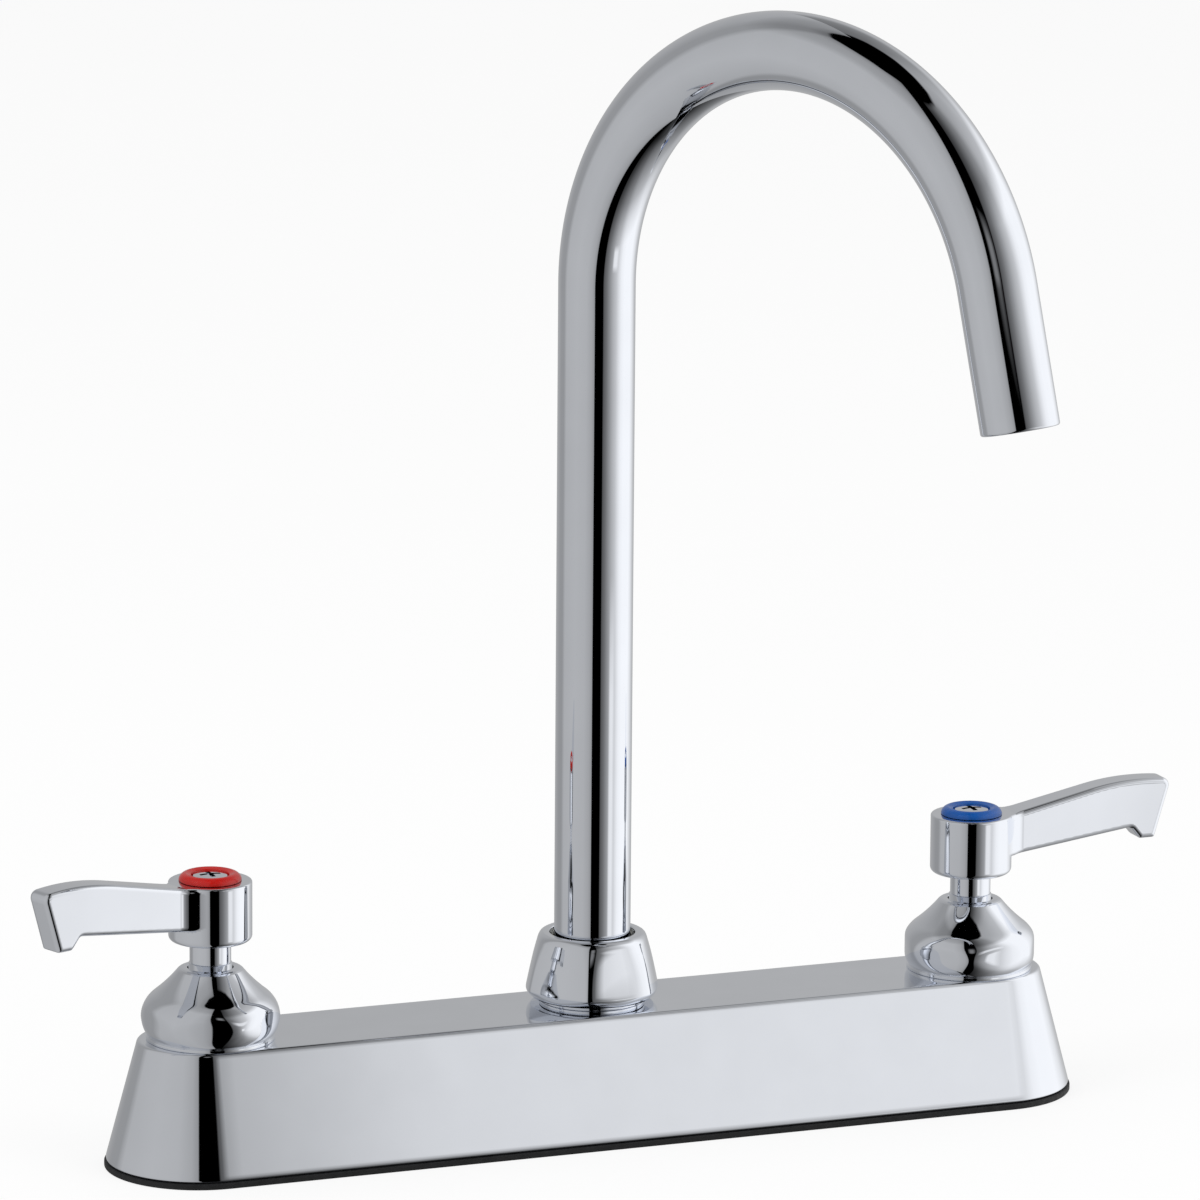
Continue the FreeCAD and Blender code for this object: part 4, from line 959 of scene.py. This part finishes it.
def make_reflected_room():
    """Surround the faucet with what its chrome mirrors; the camera and the lamps don't see it."""
    work = bmesh.new()
    centre = Matrix.Translation((0, 0, ROOM_HEIGHT))
    bmesh.ops.create_icosphere(work, subdivisions=4, radius=ROOM_REACH, matrix=centre)
    mesh = bpy.data.meshes.new("reflected_room")
    work.to_mesh(mesh)
    work.free()
    room = bpy.data.objects.new("reflected_room", mesh)
    bpy.context.scene.collection.objects.link(room)
    room.visible_camera = room.visible_diffuse = room.visible_shadow = False
    material, tree, place = new_material("Softboxes")
    seen = add_node(tree, "ShaderNodeMapping", {
        "Vector": place, "Location": (0, 0, -ROOM_HEIGHT),
        "Rotation": (0, 0, math.radians(90 + CAMERA_AZIMUTH))})
    axes = add_node(tree, "ShaderNodeSeparateXYZ", {0: seen.outputs[0]}).outputs
    azimuth = add_node(tree, "ShaderNodeMath", {0: axes["Y"], 1: axes["X"]}, operation="ARCTAN2").outputs[0]
    rise = add_node(tree, "ShaderNodeMath", {0: axes["Z"], 1: ROOM_REACH}, operation="DIVIDE")
    height = add_node(tree, "ShaderNodeMath", {0: rise.outputs[0]}, operation="ARCSINE").outputs[0]
    level = 0.0
    for around, upward in LIGHTS:
        level = add_node(tree, "ShaderNodeMath", {
            0: steps(tree, azimuth, around), 1: steps(tree, height, upward), 2: level},
            operation="MULTIPLY_ADD").outputs[0]
    glow = add_node(tree, "ShaderNodeEmission", {"Strength": level})
    close_material(tree, glow)
    mesh.materials.append(material)


def make_floor():
    """Lay the pale floor."""
    mesh = bpy.data.meshes.new("floor")
    reach = 12.0
    mesh.from_pydata([(-reach, -reach, 0), (reach, -reach, 0), (reach, reach, 0), (-reach, reach, 0)], [],
                     [(0, 1, 2, 3)])
    floor = bpy.data.objects.new("floor", mesh)
    bpy.context.scene.collection.objects.link(floor)
    floor.visible_glossy = False
    material, tree, place = new_material("Matt studio paper")
    # To the eye: even near-white without gloss, so that only the soft shadow shows
    paper = add_node(tree, "ShaderNodeBsdfPrincipled", {
        "Base Color": tinted(tree, place, settings("finish").floor, 300, 0.01), "Roughness": 0.9,
        "Specular IOR Level": 0.1})
    white = add_node(tree, "ShaderNodeEmission", {"Strength": 1.0})
    share = add_node(tree, "ShaderNodeMath", {0: seen_directly(tree), 1: 0.8}, operation="MULTIPLY")
    close_material(tree, add_node(tree, "ShaderNodeMixShader", {
        0: share.outputs[0], 1: paper.outputs[0], 2: white.outputs[0]}))
    mesh.materials.append(material)


def seen_directly(tree):
    """Give 1 for what the camera, a mirror or glass sees, and 0 for light that falls on the object."""
    path = add_node(tree, "ShaderNodeLightPath").outputs
    seen = path["Is Camera Ray"]
    for ray in ("Is Glossy Ray", "Is Transmission Ray"):
        seen = add_node(tree, "ShaderNodeMath", {0: seen, 1: path[ray]}, operation="MAXIMUM").outputs[0]
    return seen


def make_world():
    """Surround the studio with white that the camera and the metal see, and soft light for the rest."""
    world = bpy.data.worlds.new("Studio")
    world.use_nodes = True
    tree = world.node_tree
    tree.nodes.clear()
    level = add_node(tree, "ShaderNodeMapRange", {
        "Value": seen_directly(tree), "To Min": 0.75, "To Max": 1.0})
    ground = add_node(tree, "ShaderNodeBackground", {"Color": (1, 1, 1, 1), "Strength": level.outputs[0]})
    add_node(tree, "ShaderNodeOutputWorld", {"Surface": ground.outputs[0]})
    bpy.context.scene.world = world


def make_lamp(name, azimuth, height, distance, size, power):
    """Hang a square soft lamp that looks at the faucet; azimuth in degrees, rightwards from the camera."""
    data = bpy.data.lights.new(name, "AREA")
    data.shape, data.size, data.energy = "SQUARE", size, power
    lamp = bpy.data.objects.new(name, data)
    bpy.context.scene.collection.objects.link(lamp)
    angle = math.radians(-90 - CAMERA_AZIMUTH + azimuth)
    lamp.visible_glossy = False
    lamp.location = (distance * math.cos(angle), distance * math.sin(angle), height)
    lamp.rotation_euler = (Vector((0, 0, 0.1)) - lamp.location).to_track_quat("-Z", "Y").to_euler()


def make_camera():
    """Stand the camera where the photograph was taken from."""
    around, lift, roll = (math.radians(a) for a in (CAMERA_AZIMUTH, CAMERA_LIFT, CAMERA_ROLL))
    back = Vector((-math.sin(around) * math.cos(lift), -math.cos(around) * math.cos(lift), math.sin(lift)))
    right = Vector((math.cos(around), -math.sin(around), 0))
    up = right.cross(-back)
    tilted_right = math.cos(roll) * right + math.sin(roll) * up
    tilted_up = math.cos(roll) * up - math.sin(roll) * right
    target = right * AIM_RIGHT * MM + Vector((0, 0, AIM_HEIGHT * MM))
    data = bpy.data.cameras.new("camera")
    data.sensor_width = 36
    data.lens = FOCAL_PIXELS / FRAME_PIXELS * data.sensor_width
    data.clip_end = 100
    camera = bpy.data.objects.new("camera", data)
    bpy.context.scene.collection.objects.link(camera)
    axes = Matrix((tilted_right, tilted_up, back)).transposed().to_4x4()
    camera.matrix_world = Matrix.Translation(target + back * CAMERA_DISTANCE) @ axes
    bpy.context.scene.camera = camera


class FAUCET_OT_studio(bpy.types.Operator):
    """Set up floor, cards, lamps, world and camera"""
    bl_idname = "faucet.studio"
    bl_label = "Studio"

    def execute(self, context):
        make_floor()
        make_world()
        make_lamp("soft lamp left", azimuth=-60, height=1.6, distance=1.6, size=1.2, power=14)
        make_lamp("soft lamp right", azimuth=65, height=1.5, distance=1.6, size=1.2, power=10)
        make_reflected_room()
        make_camera()
        context.scene.view_settings.view_transform = "Standard"
        return {"FINISHED"}


class FAUCET_PT_sidebar(bpy.types.Panel):
    """The faucet's pieces, in the order in which they are made"""
    bl_idname = "FAUCET_PT_sidebar"
    bl_label = "Gooseneck faucet"
    bl_space_type = "VIEW_3D"
    bl_region_type = "UI"
    bl_category = "Faucet"

    def draw(self, context):
        for operator in OPERATORS:
            self.layout.operator(operator.bl_idname)


OPERATORS = (
    FAUCET_OT_deck, FAUCET_OT_spout, FAUCET_OT_spout_nut, FAUCET_OT_bonnets, FAUCET_OT_levers,
    FAUCET_OT_index, FAUCET_OT_inner_works, FAUCET_OT_studio,
)
GROUPS = {"deck": DeckSizes, "spout": SpoutSizes, "handle": HandleSizes, "finish": Finishes}


def register():
    for name, group in GROUPS.items():
        bpy.utils.register_class(group)
        setattr(bpy.types.Scene, f"faucet_{name}", bpy.props.PointerProperty(type=group))
    for kind in (*OPERATORS, FAUCET_PT_sidebar):
        bpy.utils.register_class(kind)


def unregister():
    for kind in (FAUCET_PT_sidebar, *reversed(OPERATORS)):
        bpy.utils.unregister_class(kind)
    for name, group in reversed(GROUPS.items()):
        delattr(bpy.types.Scene, f"faucet_{name}")
        bpy.utils.unregister_class(group)


def main():
    """Make the whole faucet and its studio."""
    register()
    for operator in OPERATORS:
        group, name = operator.bl_idname.split(".")
        getattr(getattr(bpy.ops, group), name)()


if __name__ == "__main__":
    main()
